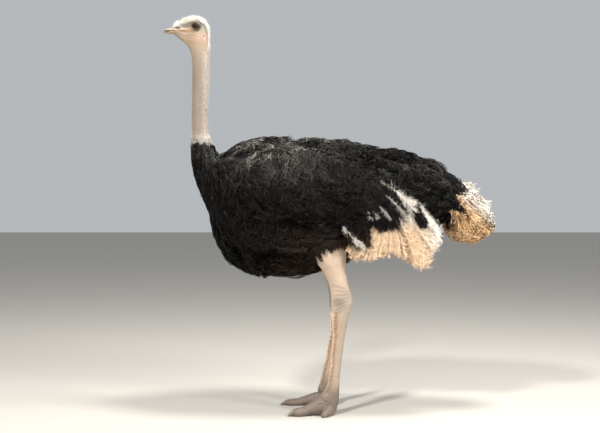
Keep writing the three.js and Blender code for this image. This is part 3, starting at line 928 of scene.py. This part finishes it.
def locks(form, place, angle, apart, rng):
    """Gathers roots into locks about apart metres wide: how near each root is to the middle of its lock,
    from 0 to 1, and which root stands in that middle."""
    at = form(place, angle, 1.0)
    middles = np.empty(0, int)
    for k in rng.permutation(len(at)):
        if not (np.linalg.norm(at[middles] - at[k], axis=1) < apart).any():
            middles = np.append(middles, k)
    gap = np.linalg.norm(at[:, None] - at[None, middles], axis=2)
    return 1 - np.clip(gap.min(axis=1) / apart, 0, 1) ** 2, middles[gap.argmin(axis=1)]


def joined_ribbons(name, rails, tips, colours, uvs, finish):
    """One mesh of many ribbons: rails (ribbons, steps, 2, 3), then a single point each."""
    ribbons, steps = rails.shape[:2]
    each = 2 * steps + 1
    verts = np.concatenate([rails.reshape(ribbons, 2 * steps, 3), tips[:, None]], axis=1)
    row = 2 * np.arange(steps - 1)[:, None] + np.array([0, 1, 3, 2])
    corners = np.concatenate([row.ravel(), [each - 3, each - 2, each - 1]])
    loops = (np.arange(ribbons)[:, None] * each + corners).ravel()
    starts = np.concatenate([4 * np.arange(steps - 1), [4 * (steps - 1)]])
    starts = (np.arange(ribbons)[:, None] * len(corners) + starts).ravel()
    mesh = bpy.data.meshes.new(name)
    mesh.vertices.add(ribbons * each)
    mesh.vertices.foreach_set("co", verts.astype(np.float32).ravel())
    mesh.loops.add(len(loops))
    mesh.loops.foreach_set("vertex_index", loops.astype(np.int32))
    mesh.polygons.add(len(starts))
    mesh.polygons.foreach_set("loop_start", starts.astype(np.int32))
    mesh.polygons.foreach_set("use_smooth", np.ones(len(starts), bool))
    mesh.update(calc_edges=True)
    paint(mesh, colours.reshape(-1, 3))
    layer = mesh.uv_layers.new(name="OFBake")
    layer.data.foreach_set("uv", uvs.reshape(-1, 2)[loops].astype(np.float32).ravel())
    thing = bpy.data.objects.new(name, mesh)
    bpy.context.scene.collection.objects.link(thing)
    mesh.materials.append(finish)
    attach(thing, "root")
    return thing


PATCH = 0.003  # the share of the map that one tuft takes


def patches(home_u, home_v, blades, steps):
    """Each tuft's own small place on the map, shared by all its blades."""
    spread = lambda v: (v - v.min()) / max(np.ptp(v), 1e-9) * 0.97 + 0.015
    home = np.stack([spread(home_u), spread(home_v)], axis=-1)[:, None, None]
    ends = np.repeat(np.linspace(0, 1, steps + 1)[:-1], 2).tolist() + [1.0]
    cross = np.array([-1, 1] * steps + [0.0])
    patch = PATCH / 2 * np.stack([cross, 2 * np.array(ends) - 1], axis=-1)
    return np.broadcast_to(home + patch, (len(home_u), blades, 2 * steps + 1, 2))


def plumes(
    name, form, place, angle, down, finish, colour, rng, *, lie, length, barbs=28, steps=3, vane=0.42,
    splay=0.75, bend=0.0, width=0.0030, curl=0.5, loose=0.12, start=0.22, root=0.0, lift=1.0, arch=0.25,
    twist=0.7, fade=0.6, loft=1.0, sign=1,
):
    """Plumes on a form, each a fringe of barbs on both sides of a quill. lie is 0 towards the tail and a
    quarter turn down the side, down is the way of growing angle that runs down, length is in metres, and
    loft is the share kept of a height over 1.2 coats."""
    count = len(place)
    column = lambda value: np.broadcast_to(np.asarray(value, float), (count,))[:, None, None]
    along, round_it = scale_of(form, place, angle)
    shape = (count, barbs)
    at = np.linspace(start, 1, barbs)[None, :, None] + np.zeros((count, 1, 1))
    hand = np.where(np.arange(barbs) % 2, 1.0, -1.0)[None, :, None]
    t = np.linspace(0, 1, steps + 1)[None, None, :]
    heading = column(lie) + column(bend) * at
    quill = column(length) * at
    lean = column(lie) + column(bend) * at / 2
    own = column(length) * vane * (0.55 + 0.45 * np.sin(np.pi * (0.15 + 0.75 * at)))
    own = own * rng.uniform(0.7, 1.25, shape)[..., None]
    way = hand * splay * (1 - 0.7 * at) * (1 - 0.45 * t) + rng.normal(0, 0.10, shape)[..., None]
    turn = 0.7 * (rng.normal(0, curl, (count, 1)) + rng.normal(0, curl, shape))
    way = heading + way + turn[..., None] * t * t
    forward = quill * np.cos(lean) + own * t * np.cos(way)
    across = quill * np.sin(lean) + own * t * np.sin(way)
    p = place[:, None, None] + forward / along[:, None, None]
    a = angle[:, None, None] + np.asarray(down)[..., None, None] * across / round_it[:, None, None]
    high = column(root) + (column(lift) - column(root)) * (1 - (1 - at) ** 2.5)
    high = high + rng.normal(0, loose, shape)[..., None] * t - column(arch) * t * t
    high = high - (1 - loft) * np.maximum(high - 1.2, 0)
    line = form(p, a, high)
    outward = form(p[..., :1], a[..., :1], 1.0) - form(p[..., :1], a[..., :1], 0.5)
    outward = outward / np.linalg.norm(outward, axis=-1, keepdims=True)
    run = np.gradient(line, axis=2)
    flat = np.cross(run, outward)
    flat = flat / (np.linalg.norm(flat, axis=-1, keepdims=True) + 1e-12)
    turned = rng.normal(0, twist, shape)[..., None, None]
    flat = flat * np.cos(turned) + outward * np.sin(turned)
    slim = width * (1 - 0.6 * t ** 2)[..., None] * rng.uniform(0.7, 1.3, shape)[..., None, None]
    rails = np.stack([line - flat * slim / 2, line + flat * slim / 2], axis=-2)[:, :, :-1]
    tips = line[:, :, -1]
    shade = colour(form(p[..., 0], a[..., 0], high[..., 0]), at[..., 0], rng)
    if sign < 0:
        rails[..., 1] *= -1
        tips[..., 1] *= -1
    ribbons = count * barbs
    out = np.array(np.repeat(np.linspace(0, 1, steps + 1)[:-1], 2).tolist() + [1.0])[:, None]
    # Darker towards each barb's root: painted shade deep in the coat.
    shade = shade[:, :, None] * (fade + (1 - fade) * out)
    return joined_ribbons(
        name, rails.reshape(ribbons, steps, 2, 3), tips.reshape(ribbons, 3), shade,
        patches(angle, place, barbs, steps), finish,
    )


body = partial(on_form, BODY)
wing = partial(on_form, WING)
COLLAR_Z = 1.450  # where the black plumes of the neck begin
UNDER_WING = 0.045  # how far inside a wing's outline the trunk needs no plumes


def bared_by_wing(points):
    """0 where a folded wing lies over the trunk, 1 elsewhere."""
    x, z = points[:, 0], points[:, 2]
    line = np.array(WING)
    top = np.interp(x, line[:, 0], line[:, 1]) - UNDER_WING
    bottom = np.interp(x, line[:, 2], line[:, 3]) + UNDER_WING
    inside = (x > line[0, 0] + UNDER_WING) & (x < line[-1, 0] - UNDER_WING) & (z < top) & (z > bottom)
    return np.where(inside & (np.abs(points[:, 1]) > 0.1), 0.0, 1.0)


# A grey-brown for worn tips that also stands in for a painted highlight, and a brown that is a painted warm
# bounce light from the ground.
GREY_TIP_AND_HIGHLIGHT = (0.24, 0.215, 0.190)
PAINTED_BOUNCE_BROWN = (0.060, 0.028, 0.012)


def black_shade(points, at, rng, gain=1.0):
    """Black plumes: lighter grey-brown on the top of the back, the shoulder and the rump, partly a worn tint
    and partly a painted highlight where light from above falls, and brown under the flank as a painted warm
    bounce light from the ground.
    """
    x, z = points[..., 0], points[..., 2]
    count, barbs = x.shape
    deep = np.exp(rng.normal(0, 0.35, (count, 1)) + rng.normal(0, 0.40, (count, barbs)))
    tone = np.array(BLACK) * deep[..., None]
    # Lighter on the top of the back, the shoulder and the rump, and towards the tips: partly worn, partly a
    # painted highlight.
    back = ramp(z, 1.27, 1.41) * ramp(-x, -0.30, 0.0)
    shoulder = ramp(z, 1.12, 1.28) * ramp(-x, -0.05, 0.15) * ramp(x, -0.58, -0.46)
    rump = ramp(x, 0.20, 0.45) * ramp(z + 0.5 * x, 1.42, 1.52)
    worn_and_highlight = gain * (0.010 + 0.75 * back + 0.22 * shoulder + 0.20 * rump) * rng.random((count, 1)) ** 1.5
    worn_and_highlight = worn_and_highlight * rng.random((count, barbs)) * (0.2 + 0.8 * at)
    tone = tone + np.array(GREY_TIP_AND_HIGHLIGHT) * worn_and_highlight[..., None]
    # Brown under the flank: a painted warm bounce light from the ground.
    painted_bounce = ramp(-z, -1.00, -0.88) * ramp(x, -0.36, -0.22)
    painted_bounce = painted_bounce * rng.random((count, 1)) * rng.random((count, barbs))
    return tone + np.array(PAINTED_BOUNCE_BROWN) * painted_bounce[..., None]


def droop(place, angle):
    """How the body's plumes lie: straight back along the spine and keel, sloping down the sides."""
    steep = np.interp(place, [9, 12, 14, 17, 20, 23], [0.35, 0.75, 0.85, 0.75, 0.50, 0.40])
    return steep * np.sin(np.clip(np.abs(angle), 0, math.pi)) ** 0.8


def bared(points):
    """Where the body's black plumes grow: below the collar, and not under the wings."""
    return bared_by_wing(points) * (points[:, 2] < COLLAR_Z)


def locked_coat(
    name, form, place, angle, down, apart, steep, length, rng, *,
    swirl=0.5, relief=0.45, painted_highlight_gain=1.0, **style,
):
    """Black plumes in locks that stand up in the middle and close at the tip, with a painted highlight on the
    middle plumes of each lock that grows towards their tips.
    """
    near, middle = locks(form, place, angle, apart, rng)
    _, round_it = scale_of(form, place, angle)
    across = np.mod(angle[middle] - angle + math.pi, 2 * math.pi) - math.pi
    closing = down * across * round_it / apart
    own_lie = steep + 0.35 * waves(place, angle, rng) + 0.5 * swirl * rng.normal(0, 1, len(place))
    curled = swirl * rng.normal(0, 1, len(place))
    # A painted highlight, strongest on the middle plumes of each lock.
    gleam = (0.15 + 1.7 * near**2) * rng.uniform(0.15, 1.85, len(place))[middle]
    shade = partial(black_shade, gain=painted_highlight_gain * gleam[:, None])
    return plumes(
        name, form, place, angle, down, black_finish, shade, rng,
        lie=own_lie[middle] + 0.55 * closing, length=length * rng.uniform(0.8, 1.2, len(place)),
        bend=curled[middle], lift=1.10 - relief * (1 - near) + rng.exponential(0.04, len(place)), **style,
    )


def body_coat(name, places, angles, count, seed, length, apart, **style):
    rng = np.random.default_rng(seed)
    place, angle = scatter(body, places, angles, count, rng, bared)
    return locked_coat(
        name, body, place, angle, np.sign(angle), apart, droop(place, angle), length, rng, steps=2, **style
    )


ALL_ROUND = (-math.pi, math.pi)
coats = [
    body_coat(
        "plumes_neck", (7.6, 12.0), ALL_ROUND, 1000, 1, 0.055, 0.030, barbs=32, width=0.0022, swirl=0.12
    ),
    body_coat("plumes_breast", (10.6, 14.3), ALL_ROUND, 930, 2, 0.110, 0.055, barbs=44, curl=0.8, swirl=0.3),
    body_coat("plumes_body_left", (14.0, 20.2), (-math.pi, 0), 880, 3, 0.13, 0.075, barbs=46, curl=0.9),
    body_coat("plumes_body_right", (14.0, 20.2), (0, math.pi), 880, 4, 0.13, 0.075, barbs=46, curl=0.9),
    body_coat("plumes_rump", (19.8, 22.2), ALL_ROUND, 820, 5, 0.14, 0.070, barbs=46, curl=0.9),
]


# ---- Wing coverts
# The folded wing is roofed with the same loose black plumes, rooted in the skin of the arm.
# At its shoulder they are curlier, painted greyer as a painted highlight, and stand up from the coat.

for side, pose in SIDES.items():
    rng = np.random.default_rng(20)
    place, angle = scatter(wing, (0.15, 6.4), (-0.35, math.pi + 0.2), 740, rng)
    coat = locked_coat(
        f"coverts_{side}", wing, place, angle, np.ones(len(place)), 0.070, 0.45, 0.11, rng, barbs=28,
        curl=1.0, sign=pose["sign"],
    )
    place, angle = scatter(wing, (0.1, 4.4), (-0.7, 1.70), 330, rng)
    curls = locked_coat(
        f"shoulder_curls_{side}", wing, place, angle, np.ones(len(place)), 0.055, 0.6, 0.085, rng, barbs=34,
        curl=1.7, vane=0.5, width=0.0034, root=0.7, arch=-0.3, loose=0.25, swirl=1.2, relief=0.7,
        painted_highlight_gain=1.7, loft=0.55, sign=pose["sign"],
    )

# Shorter black plumes run out over the top of each thigh, lower in front than behind
THIGH_PUFF = 0.014  # how far they stand off the leg


def high_on_thigh(points):
    return np.where(points[:, 2] > 0.915 + 0.45 * points[:, 0], 1.0, 0.0)


for side, pose in SIDES.items():
    rng = np.random.default_rng(21)
    thigh_form = leg_slices(side)
    thigh_form[:, 0] += THIGH_PUFF
    thigh_form[:, 2] -= THIGH_PUFF
    thigh_form[:, 4] += THIGH_PUFF
    thigh_form[:, 7:9] = THIGH_PUFF + 0.004
    thigh = partial(on_form, thigh_form)
    place, angle = scatter(thigh, (0.0, 2.6), ALL_ROUND, 300, rng, high_on_thigh)
    coat = plumes(
        f"plumes_thigh_{side}", thigh, place, angle, np.ones(len(place)), black_finish, black_shade, rng,
        lie=0.25 * waves(place, angle, rng), length=0.075 * rng.uniform(0.7, 1.2, len(place)), barbs=26,
        steps=2, width=0.0026, lift=rng.uniform(0.5, 1.1, len(place)), root=0.2, sign=pose["sign"],
    )


# ---- Wing plumes
# White primaries and their coverts hang behind the thigh as one soft bunch, painted cream below as warm bounce
# light from the ground and whiter at the top and rear as a painted highlight. Black lobes of longer coverts
# hang over their top, and white streaks show through beside the lobes.

BOUNCE_CREAM = (0.88, 0.66, 0.45)
WHITE = (0.90, 0.83, 0.74)
# Chains of guide lines: root x, root z, tip x, tip z, y. Plumes lie along and between a chain's lines.
HUNG = {
    "white": [
        [
            (0.150, 0.935, 0.108, 0.862, 0.205),
            (0.214, 1.000, 0.130, 0.848, 0.208),
            (0.246, 1.010, 0.180, 0.826, 0.212),
            (0.272, 1.010, 0.248, 0.836, 0.215),
            (0.302, 1.030, 0.320, 0.862, 0.216),
            (0.340, 1.050, 0.425, 0.824, 0.212),
            (0.350, 1.060, 0.478, 0.800, 0.208),
            (0.340, 1.090, 0.500, 0.850, 0.204),
            (0.345, 1.110, 0.535, 0.900, 0.198),
            (0.345, 1.125, 0.542, 0.955, 0.192),
            (0.350, 1.130, 0.505, 1.005, 0.190),
        ],
    ],
    "black": [
        [
            (0.060, 1.100, 0.078, 0.918, 0.236),
            (0.120, 1.090, 0.135, 0.893, 0.238),
            (0.165, 1.080, 0.182, 0.900, 0.238),
        ],
        [
            (0.170, 1.130, 0.232, 0.990, 0.238),
            (0.200, 1.140, 0.290, 0.980, 0.238),
            (0.250, 1.150, 0.345, 0.992, 0.236),
        ],
        [(0.420, 1.075, 0.466, 0.992, 0.226), (0.425, 1.080, 0.478, 0.998, 0.226)],
    ],
    "streak": [
        [(0.232, 1.222, 0.330, 1.158, 0.228), (0.258, 1.204, 0.358, 1.132, 0.228)],
        [(0.322, 1.163, 0.428, 1.066, 0.230), (0.338, 1.142, 0.425, 1.054, 0.230)],
        [(0.345, 1.120, 0.400, 1.045, 0.226), (0.370, 1.120, 0.430, 1.040, 0.226)],
    ],
    "faint": [
        [(0.268, 1.152, 0.318, 1.098, 0.240), (0.275, 1.148, 0.324, 1.094, 0.240)],
        [(0.312, 1.104, 0.366, 1.046, 0.240), (0.318, 1.100, 0.372, 1.044, 0.240)],
        [(0.136, 1.106, 0.190, 1.040, 0.250), (0.160, 1.080, 0.220, 1.008, 0.250)],
        [(0.195, 1.092, 0.228, 1.022, 0.250), (0.205, 1.096, 0.246, 1.026, 0.250)],
        [(0.225, 1.098, 0.282, 1.036, 0.250), (0.245, 1.096, 0.306, 1.020, 0.250)],
    ],
    "fringe": [
        [(0.058, 0.986, 0.098, 0.934, 0.248), (0.066, 0.980, 0.106, 0.926, 0.248)],
        [(0.100, 0.940, 0.160, 0.884, 0.248), (0.096, 0.926, 0.172, 0.872, 0.248)],
    ],
}

white_finish, tree, shader = material(
    "white plume", roughness=0.7, specular_ior_level=0.25, sheen_weight=0.15, sheen_roughness=0.5
)
tree.links.new(painted(tree), shader.inputs["Base Color"])


def hanging(middle, thick, place, angle, height):
    """A flat sheet beside the body: place runs back along X, angle runs down."""
    y = middle.reshape(-1, *[1] * (np.ndim(place) - 1)) + thick * (height - 0.5)
    return np.stack([place + 0 * y, y + 0 * place, -angle + 0 * y], axis=-1)


def bounce_cream_and_lit_edges(points, at, rng):
    # Cream low down is a painted warm bounce light from the ground, and the white at the rear and top a
    # painted highlight.
    rear = ramp(points[..., 0] - 0.45 * (1.0 - points[..., 2]), 0.38, 0.52)
    upper = ramp(points[..., 2], 0.96, 1.03)
    tone = np.array(BOUNCE_CREAM) + (np.array(WHITE) - np.array(BOUNCE_CREAM)) * np.maximum(rear, upper)[..., None]
    return tone * rng.uniform(0.80, 1.0, (*points.shape[:2], 1)) * rng.uniform(0.90, 1.0, (len(tone), 1, 1))


def streak_shade(share, points, at, rng):
    return np.array(WHITE) * share * rng.uniform(0.45, 1.0, (*points.shape[:2], 1))


def hung(name, chains, count, scattered, finish, colour, rng, sign, **style):
    """Plumes beside the body that follow chains of guide lines, each chain as likely as the next."""
    shares = [sliced(chain, rng.uniform(0, len(chain) - 1, count // len(chains))) for chain in chains]
    row = np.concatenate(shares)
    count = len(row)
    row = row + rng.normal(0, 1, (count, 5)) * scattered
    run = row[:, 2:4] - row[:, 0:2]
    return plumes(
        name, partial(hanging, row[:, 4], 0.04), row[:, 0], -row[:, 1], np.ones(count), finish, colour, rng,
        lie=np.arctan2(-run[:, 1], run[:, 0]), length=np.hypot(*run.T), root=0.3,
        lift=rng.uniform(0.2, 0.9, count), sign=sign, **style,
    )


for side, pose in SIDES.items():
    sign = pose["sign"]
    rng = np.random.default_rng(30)
    loose_white = (0.018, 0.018, 0.010, 0.010, 0.007)
    coat = hung(
        f"plumes_wing_{side}", HUNG["white"], 250, loose_white, white_finish, bounce_cream_and_lit_edges, rng, sign,
        barbs=130, steps=2, vane=0.19, splay=0.80, curl=0.7, width=0.0024, loose=0.22, start=0.06,
        arch=0.1, bend=0.12, twist=0.6, fade=0.95,
    )
    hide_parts(f"wing_plumes_{side}")
    loose_black = (0.014, 0.014, 0.010, 0.010, 0.006)
    coat = hung(
        f"lobes_{side}", HUNG["black"], 120, loose_black, black_finish, black_shade, rng, sign, barbs=70,
        steps=2, vane=0.25, splay=0.60, curl=0.5, width=0.0026, loose=0.10, start=0.1, arch=0.2,
    )
    for kind, count, share in (("streak", 18, 0.80), ("faint", 36, 0.42), ("fringe", 12, 0.80)):
        coat = hung(
            f"{kind}_{side}", HUNG[kind], count, (0.004, 0.004, 0.004, 0.004, 0.003), white_finish,
            partial(streak_shade, share), rng, sign, barbs=40, steps=3, vane=0.28, splay=0.45, curl=0.8,
            width=0.0020, loose=0.10, start=0.05, arch=0.1, twist=0.4, fade=1.0,
        )


# ---- Tail
# A short drooping tuft of white plumes, tan below and painted whiter along the top edge as a painted
# highlight, springs from under the black rump.
# Their quills stand in the stump of the tail, and their barbs are long, loose and curled.

TAN = (0.88, 0.57, 0.31)


def tail_shade(points, at, rng):
    # Tan below and whiter along the top and rear edge, the white edge a painted highlight where light from
    # above falls.
    upper = ramp(points[..., 2] + 0.9 * (points[..., 0] - 0.80), 0.98, 1.07)[..., None]
    tone = np.array(TAN) + (np.array(WHITE) - np.array(TAN)) * upper
    return tone * rng.uniform(0.60, 0.95, (*points.shape[:2], 1)) * rng.uniform(0.9, 1.1, (len(tone), 1, 1))


rng = np.random.default_rng(40)
place, angle = scatter(body, (22.0, 26.6), ALL_ROUND, 560, rng)
tail = plumes(
    "plumes_tail", body, place, angle, np.sign(angle), white_finish, tail_shade, rng,
    lie=0.25 * waves(place, angle, rng), length=0.085 * rng.uniform(0.8, 1.2, len(place)), barbs=60, steps=2,
    curl=1.3, width=0.0028, loose=0.25, lift=0.92 + 0.12 * waves(place, angle, rng, fine=2.0), arch=0.4,
    twist=0.4, fade=0.9,
)
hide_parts("tail_plumes")


# ---- Bristles
# The head and neck look bare but carry short hairlike feathers: a white fuzz that stands up on the crown and
# nape, close bristles down the neck, and a ragged pale collar that hangs over the first black plumes.

bristle_finish, tree, shader = material("bristles", roughness=0.6, specular_ior_level=0.3, sheen_weight=0.15)
tree.links.new(painted(tree), shader.inputs["Base Color"])
AXIS_X = -0.69  # the neck's middle line


def rooted(mesh, density, rng):
    """Points spread over a mesh, as many to each square metre as density says there, with normals."""
    mesh.calc_loop_triangles()
    corners = np.empty(len(mesh.loop_triangles) * 3, int)
    mesh.loop_triangles.foreach_get("vertices", corners)
    normals = np.empty(len(mesh.vertices) * 3)
    mesh.vertices.foreach_get("normal", normals)
    three = read_points(mesh)[corners].reshape(-1, 3, 3)
    facing = normals.reshape(-1, 3)[corners].reshape(-1, 3, 3)
    area = np.linalg.norm(np.cross(three[:, 1] - three[:, 0], three[:, 2] - three[:, 0]), axis=1) / 2
    number = rng.poisson(area * density(three.mean(axis=1)))
    pick = np.repeat(np.arange(len(number)), number)
    a, b = rng.random((2, len(pick)))
    a, b = np.where(a + b > 1, 1 - a, a), np.where(a + b > 1, 1 - b, b)
    weight = np.stack([1 - a - b, a, b], axis=1)[..., None]
    normal = (facing[pick] * weight).sum(axis=1)
    return (three[pick] * weight).sum(axis=1), normal / np.linalg.norm(normal, axis=1, keepdims=True)


def unit(v):
    return v / (np.linalg.norm(v, axis=-1, keepdims=True) + 1e-12)


def bristles(name, root, normal, flow, length, rise, rng, *, blades, steps, width, spread, curve, colour):
    """Tufts of blades on a surface that lean the way flow says, rise in radians off it, and curve over."""
    count = len(root)
    flow = unit(flow - (flow * normal).sum(axis=1, keepdims=True) * normal)
    side = np.cross(normal, flow)
    turn = rng.normal(0, spread, (count, blades, 1))
    lean = (flow[:, None] * np.cos(turn) + side[:, None] * np.sin(turn))[:, :, None]
    up = normal[:, None, None]
    t = np.linspace(0, 1, steps + 1)[None, None, :, None]
    tilt = (rise[:, None] + rng.normal(0, 0.15, (count, blades)))[..., None, None]
    long = (length[:, None] * rng.uniform(0.6, 1.15, (count, blades)))[..., None, None]
    bow = curve * rng.uniform(0.4, 1.4, (count, blades))[..., None, None]
    angle = tilt - bow * t
    sunk = 0.0006
    line = root[:, None, None] - sunk * up + long * t * (lean * np.cos(angle) + up * np.sin(angle))
    flat = unit(np.cross(np.gradient(line, axis=2), up) + 1e-9)
    turned = rng.normal(0, 0.6, (count, blades, 1, 1))
    flat = flat * np.cos(turned) + up * np.sin(turned)
    slim = width * (1 - 0.5 * t) * rng.uniform(0.7, 1.2, (count, blades, 1, 1))
    rails = np.stack([line - flat * slim / 2, line + flat * slim / 2], axis=-2)[:, :, :-1]
    shade = colour(root, rng)[:, None, None] * rng.uniform(0.75, 1.15, (count, blades, 1, 1))
    shade = np.broadcast_to(shade, (count, blades, 2 * steps + 1, 3))
    return joined_ribbons(
        name, rails.reshape(-1, steps, 2, 3), line[:, :, -1].reshape(-1, 3), shade,
        patches(np.arctan2(root[:, 1], root[:, 0] - AXIS_X), root[:, 2], blades, steps), bristle_finish,
    )


def off_bare(points):
    """0 on the open eye, its lids, the lips and the nostril, 1 elsewhere on the head."""
    lids = (np.abs(points[:, 1]) > 0.02) & (points[:, 2] > 1.98) & (lid_distance(points) < 1.45)
    lips = crease(points, -0.790, MOUTH_HEIGHT, 0.055, 0.0, 0.012) > 0.4
    return np.where(lids | lips, 0.0, 1.0)


def pale(points, rng):
    white = np.array((0.90, 0.87, 0.80))
    under = markings(points)
    # Whiter along the nape, partly its own paler bristles and partly a painted rim light, and along the front
    # edge of the neck as a painted rim light.
    nape = ramp(points[:, 0] + 0.015 * (points[:, 2] < 1.90), -0.665, -0.645)
    front = ramp(-points[:, 0], 0.715, 0.728) * ramp(-points[:, 2], -1.90, -1.84)
    share = 0.12 + crowned(points) + 0.45 * nape + 0.5 * front + 0.35 * ramp(-points[:, 2], -1.50, -1.45)
    share = np.clip(share, 0, 1)[:, None]
    return under + (white - under) * share * rng.uniform(0.75, 1.0, (len(points), 1))


rng = np.random.default_rng(50)
head_skin = lambda p: (p[:, 2] > 1.90) * off_bare(p)
root, normal = rooted(skin.data, lambda p: 170000 * head_skin(p) * crowned(p), rng)
forward = ramp(-root[:, 0], 0.775, 0.80)
rearward = ramp(root[:, 0], -0.70, -0.64)
flow = np.stack([1 - 1.7 * forward, 0.25 * rng.normal(size=len(root)), -0.9 * rearward], 1)
deep = np.interp(root[:, 0], (-0.83, -0.80, -0.77, -0.70, -0.65), (0.008, 0.017, 0.021, 0.023, 0.021))
deep = deep * ramp(root[:, 2], 1.94, 2.03) + 0.007 * ramp(-root[:, 2], -2.03, -1.96)
long = deep * (0.75 + 0.35 * rng.random(len(root))) + 0.012 * rng.random(len(root)) ** 6
fuzz = bristles(
    "crown_fuzz", root, normal, flow, long, rng.uniform(0.65, 1.45, len(root)), rng, blades=5, steps=2,
    width=0.0010, spread=0.6, curve=0.4, colour=pale,
)
root, normal = rooted(skin.data, lambda p: 160000 * head_skin(p) * (1 - crowned(p)), rng)
flow = np.stack([np.full(len(root), 0.8), np.zeros(len(root)), np.full(len(root), -0.6)], 1)
face = bristles(
    "face_bristles", root, normal, flow, rng.uniform(0.003, 0.006, len(root)),
    rng.uniform(0.10, 0.45, len(root)), rng, blades=2, steps=1, width=0.0005, spread=0.35, curve=0.2,
    colour=pale,
)
on_neck = lambda p: 170000.0 * ramp(-p[:, 2], -1.98, -1.86) * (p[:, 2] > 1.428)
root, normal = rooted(skin.data, on_neck, rng)
flow = np.stack([np.full(len(root), 0.05), 0.1 * rng.normal(size=len(root)), -np.ones(len(root))], 1)
low = ramp(-root[:, 2], -1.48, -1.43)
rear = ramp(root[:, 0] - 0.02 * (root[:, 2] < 1.60), -0.665, -0.640)
neck = bristles(
    "neck_bristles", root, normal, flow, rng.uniform(0.005, 0.010, len(root)) + 0.006 * rear + 0.010 * low,
    rng.uniform(0.15, 0.75, len(root)) + 0.35 * rear, rng, blades=3, steps=1, width=0.0008, spread=0.35,
    curve=0.3, colour=pale,
)

# The collar's longer tufts, in a ragged ring over the first black plumes
COLLAR_RING = (1.441, 0.012)  # its middle height and half its own height


def collar_ring(points):
    middle, half = COLLAR_RING
    edges = 0.15 + 0.85 * ramp(np.abs(points[:, 0] - AXIS_X), 0.015, 0.040)
    return np.where(np.abs(points[:, 2] - middle) < half, edges, 0.0)


rng = np.random.default_rng(51)
place, angle = scatter(body, (7.4, 9.2), ALL_ROUND, 240, rng, collar_ring)
collar = plumes(
    "collar", body, place, angle, np.sign(angle), white_finish, partial(streak_shade, 0.8), rng,
    lie=0.15 * waves(place, angle, rng), length=0.024 * rng.uniform(0.4, 1.4, len(place)), barbs=14, steps=2,
    width=0.0012, lift=1.15, root=0.3, splay=0.4, vane=0.5, curl=0.4, arch=0.0,
)


# ---- Lashes
# A fan of stiff black bristles along each upper lid, and a shorter one along the lower.
# Each is a hairlike feather without barbs, rooted in the lid's edge.

LASH_BLACK = (0.012, 0.009, 0.007)
for side, pose in SIDES.items():
    rng = np.random.default_rng(60)
    half_long, half_high = LID_OPENING
    turn = np.concatenate([np.linspace(0.25, math.pi - 0.15, 90), np.linspace(-2.6, -0.5, 34)])
    across = 1.06 * np.cos(turn)
    tall = 1.06 * np.sin(turn) * half_high * (1 - 0.25 * np.cos(turn) ** 2) - 0.0015 * across
    off = np.stack([across * half_long, np.zeros(len(turn)), tall], axis=1)
    ball_radius = EYE_RADIUS + LID_THICKNESS
    off[:, 1] = np.sqrt(ball_radius**2 - off[:, 0] ** 2 - off[:, 2] ** 2)
    root = (np.array(EYE_CENTRE) + off) * (1, pose["sign"], 1)
    normal = unit(off) * (1, pose["sign"], 1)
    upper = turn > 0
    flow = np.stack([off[:, 0], np.zeros(len(turn)), np.where(upper, 0.010, -0.012)], axis=1)
    lashes = bristles(
        f"lashes_{side}", root, normal, flow, np.where(upper, 0.011, 0.005), np.where(upper, 1.0, 0.9), rng,
        blades=1, steps=3, width=0.0005, spread=0.12, curve=-0.6,
        colour=lambda points, rng: np.full((len(points), 3), LASH_BLACK),
    )


# ---- Studio
# A pale floor that throws warm light up, and three round soft lights: a key from the front left,
# a fill from the right and one from above. None of it is part of the bird.

floor = bmesh.new()
bmesh.ops.create_grid(floor, x_segments=1, y_segments=1, size=30)
floor = made("floor", floor)
floor_finish, tree, shader = material("floor", roughness=0.9)
shader.inputs["Base Color"].default_value = (0.48, 0.455, 0.415, 1)
floor.data.materials.append(floor_finish)

world = bpy.data.worlds.new("studio")
world.use_nodes = True
world.node_tree.nodes["Background"].inputs["Color"].default_value = (0.92, 0.96, 1.0, 1)
world.node_tree.nodes["Background"].inputs["Strength"].default_value = 0.50
bpy.context.scene.world = world


def soft_light(name, place, target, size, power, colour):
    lamp = bpy.data.lights.new(name, "AREA")
    lamp.shape = "DISK"
    lamp.size = size
    lamp.energy = power
    lamp.color = colour
    thing = bpy.data.objects.new(name, lamp)
    thing.location = place
    thing.rotation_euler = (Vector(target) - Vector(place)).to_track_quat("-Z", "Y").to_euler()
    bpy.context.scene.collection.objects.link(thing)


soft_light("key", (-2.6, -4.2, 5.2), (0, 0, 1.0), 0.8, 470, (1.0, 0.97, 0.92))
soft_light("fill", (3.8, -3.0, 3.2), (0.6, 0, 1.0), 1.4, 240, (1.0, 0.97, 0.93))
soft_light("top", (0.9, -0.6, 5.0), (0.1, 0, 1.2), 1.0, 230, (1.0, 0.98, 0.95))

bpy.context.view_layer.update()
